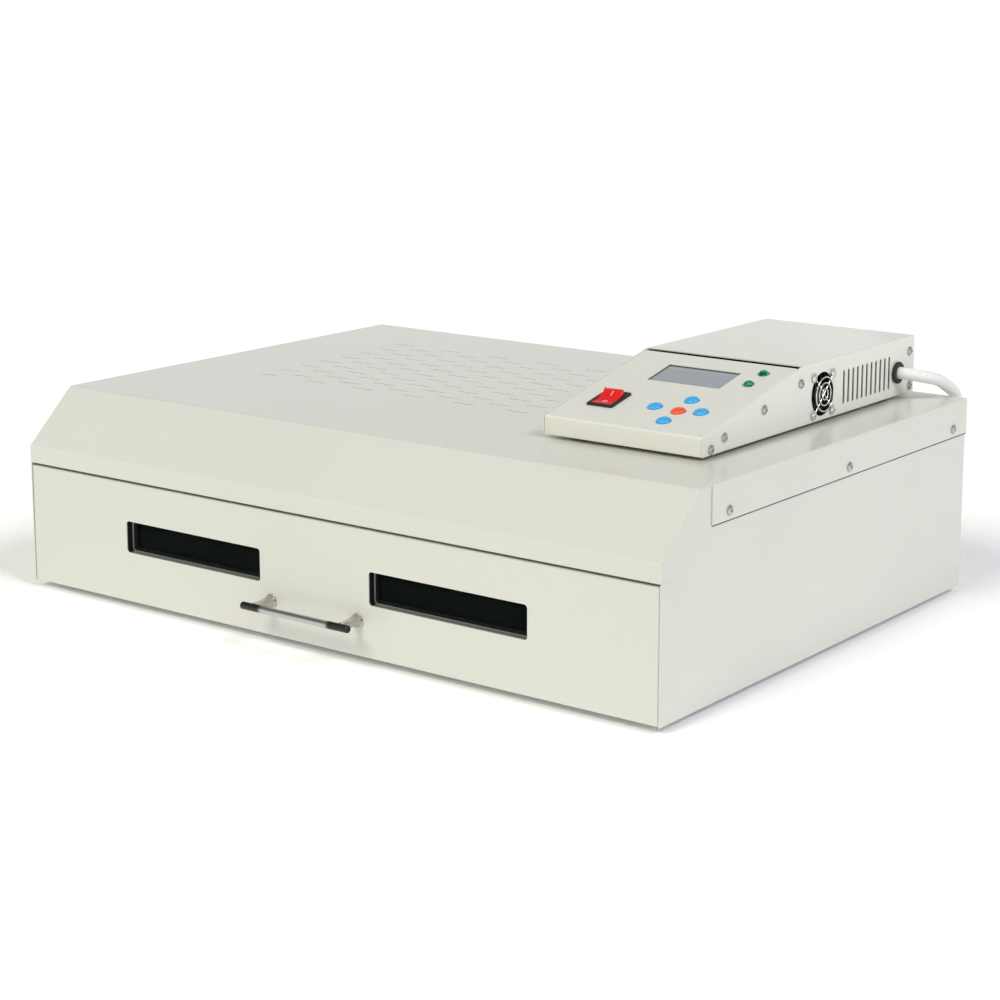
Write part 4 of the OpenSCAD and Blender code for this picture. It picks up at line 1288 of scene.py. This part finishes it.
class OVEN_OT_heaters(bpy.types.Operator):
    """Heating coils inside the quartz tubes."""

    bl_idname = "oven.heaters"
    bl_label = "Heater coils"

    def execute(self, context):
        wire = bright_metal("heating wire", (0.32, 0.29, 0.27), 0.45, 0.6)
        pitch, radius, end, steps = 6.0 * MM, 3.4 * MM, 6.0 * MM, 10
        coils = []
        for low, high, _ in islands("heater_tubes"):
            middle = (low + high) / 2
            turns = int((high.x - low.x - 2 * end) / pitch)
            path = []
            for i in range(turns * steps):
                turn = 2 * math.pi * i / steps
                path.append(Vector((
                    low.x + end + pitch * i / steps,
                    middle.y + radius * math.cos(turn),
                    middle.z + radius * math.sin(turn),
                )))
            coils.append((tube(path, 0.45 * MM, 5), AS_MADE))
        new_piece(
            "heating_coils", merged(coils), "heater_tubes",
            extra_slot="motor_metal", material=wire, smooth=80.0,
        )
        return {"FINISHED"}


class OVEN_OT_carried(bpy.types.Operator):
    """Finishes on the CAD parts that are shown as they are."""

    bl_idname = "oven.carried"
    bl_label = "Other parts"

    def execute(self, context):
        for node, part in NODES.items():
            part.data.materials.clear()
            part.data.materials.append(finish_of(SLOT_OF[node]))
            part.data.shade_smooth()
            part.data.set_sharp_from_angle(angle=math.radians(30))
        return {"FINISHED"}


# ---------- stage ----------

class OVEN_OT_stage(bpy.types.Operator):
    """Camera, pale floor and soft studio light."""

    bl_idname = "oven.stage"
    bl_label = "Stage"

    def execute(self, context):
        stage = context.scene.oven_stage
        self.camera(context, stage)
        self.floor()
        self.world(context)
        self.lights()
        context.scene.view_settings.view_transform = "Standard"
        return {"FINISHED"}

    def camera(self, context, stage):
        """The camera at its viewing angle."""
        flat = math.cos(stage.pitch)
        ahead = Vector((
            -math.sin(stage.azimuth) * flat, math.cos(stage.azimuth) * flat, -math.sin(stage.pitch)
        ))
        data = bpy.data.cameras.new("camera")
        data.lens = stage.lens
        data.sensor_width = 36.0
        data.shift_y = stage.drop
        data.clip_end = 200.0
        camera = bpy.data.objects.new("camera", data)
        camera.location = Vector(stage.aim) - ahead * stage.distance
        camera.rotation_euler = (math.pi / 2 - stage.pitch, 0.0, stage.azimuth)
        context.scene.collection.objects.link(camera)
        context.scene.camera = camera

    def floor(self):
        """A wide, plain, pale floor."""
        bm = bmesh.new()
        bmesh.ops.create_grid(bm, x_segments=1, y_segments=1, size=60.0)
        floor = bpy.data.objects.new("floor", to_mesh("floor", bm))
        white = (0.98, 0.98, 0.98)
        paint = Paint(
            "pale floor", roughness=0.9, base_color=white, emission_color=white,
            emission_strength=0.09,
        )
        floor.data.materials.append(paint.material)
        bpy.context.scene.collection.objects.link(floor)

    def world(self, context):
        """Light from all round, white at the horizon and darker towards the top."""
        world = bpy.data.worlds.new("studio")
        context.scene.world = world
        sky = NodeTree(world, "BACKGROUND")
        spot = sky.node("ShaderNodeTexCoord", {}, {}, out="Generated")
        up = sky.node("ShaderNodeSeparateXYZ", {}, {"Vector": spot}, out="Z")
        sky.feed("Color", sky.ramp(up, (0.04, 1.0), (0.18, 0.74), (0.62, 0.23)))
        sky.shader.inputs["Strength"].default_value = 1.0

    def lights(self):
        """Two large soft lights: from the front left, warm, and from the right, cool."""
        for name, way, power, tint in (
            ("front_light", (-0.12, -0.69, 0.71), 1.53, (1.0, 1.0, 0.86)),
            ("right_light", (0.68, -0.05, 0.73), 1.39, (0.945, 0.96, 1.03)),
        ):
            data = bpy.data.lights.new(name, "SUN")
            data.angle = math.radians(22.0)
            data.energy = power
            data.color = tint
            light = bpy.data.objects.new(name, data)
            light.rotation_euler = Vector(way).to_track_quat("Z", "Y").to_euler()
            bpy.context.scene.collection.objects.link(light)


# ---------- add-on ----------

GROUPS = (
    (OvenFinish, "oven_finish"),
    (OvenShape, "oven_shape"),
    (OvenStage, "oven_stage"),
)
OPERATORS = (
    OVEN_OT_stage, OVEN_OT_harness, OVEN_OT_carried, OVEN_OT_panels, OVEN_OT_drawer, OVEN_OT_handle,
    OVEN_OT_screws, OVEN_OT_buttons, OVEN_OT_rocker, OVEN_OT_lamps, OVEN_OT_display, OVEN_OT_fans,
    OVEN_OT_rubber, OVEN_OT_heaters,
)


class OVEN_PT_panel(bpy.types.Panel):
    """Lists the oven's pieces and settings."""

    bl_idname = "OVEN_PT_panel"
    bl_label = "Reflow oven"
    bl_space_type = "VIEW_3D"
    bl_region_type = "UI"
    bl_category = "Oven"

    def draw(self, context):
        for operator in OPERATORS:
            self.layout.operator(operator.bl_idname)
        for group, name in GROUPS:
            settings = getattr(context.scene, name)
            for key in group.__annotations__:
                self.layout.prop(settings, key)


def register():
    """Registers the settings, the operators and the panel."""
    for group, name in GROUPS:
        bpy.utils.register_class(group)
        setattr(bpy.types.Scene, name, PointerProperty(type=group))
    for item in (*OPERATORS, OVEN_PT_panel):
        bpy.utils.register_class(item)


def unregister():
    """Takes them out again."""
    for item in reversed((*OPERATORS, OVEN_PT_panel)):
        bpy.utils.unregister_class(item)
    for group, name in reversed(GROUPS):
        delattr(bpy.types.Scene, name)
        bpy.utils.unregister_class(group)


def main():
    """Makes every piece."""
    register()
    for operator in OPERATORS:
        getattr(bpy.ops.oven, operator.bl_idname.split(".")[1])()


if __name__ == "__main__":
    main()
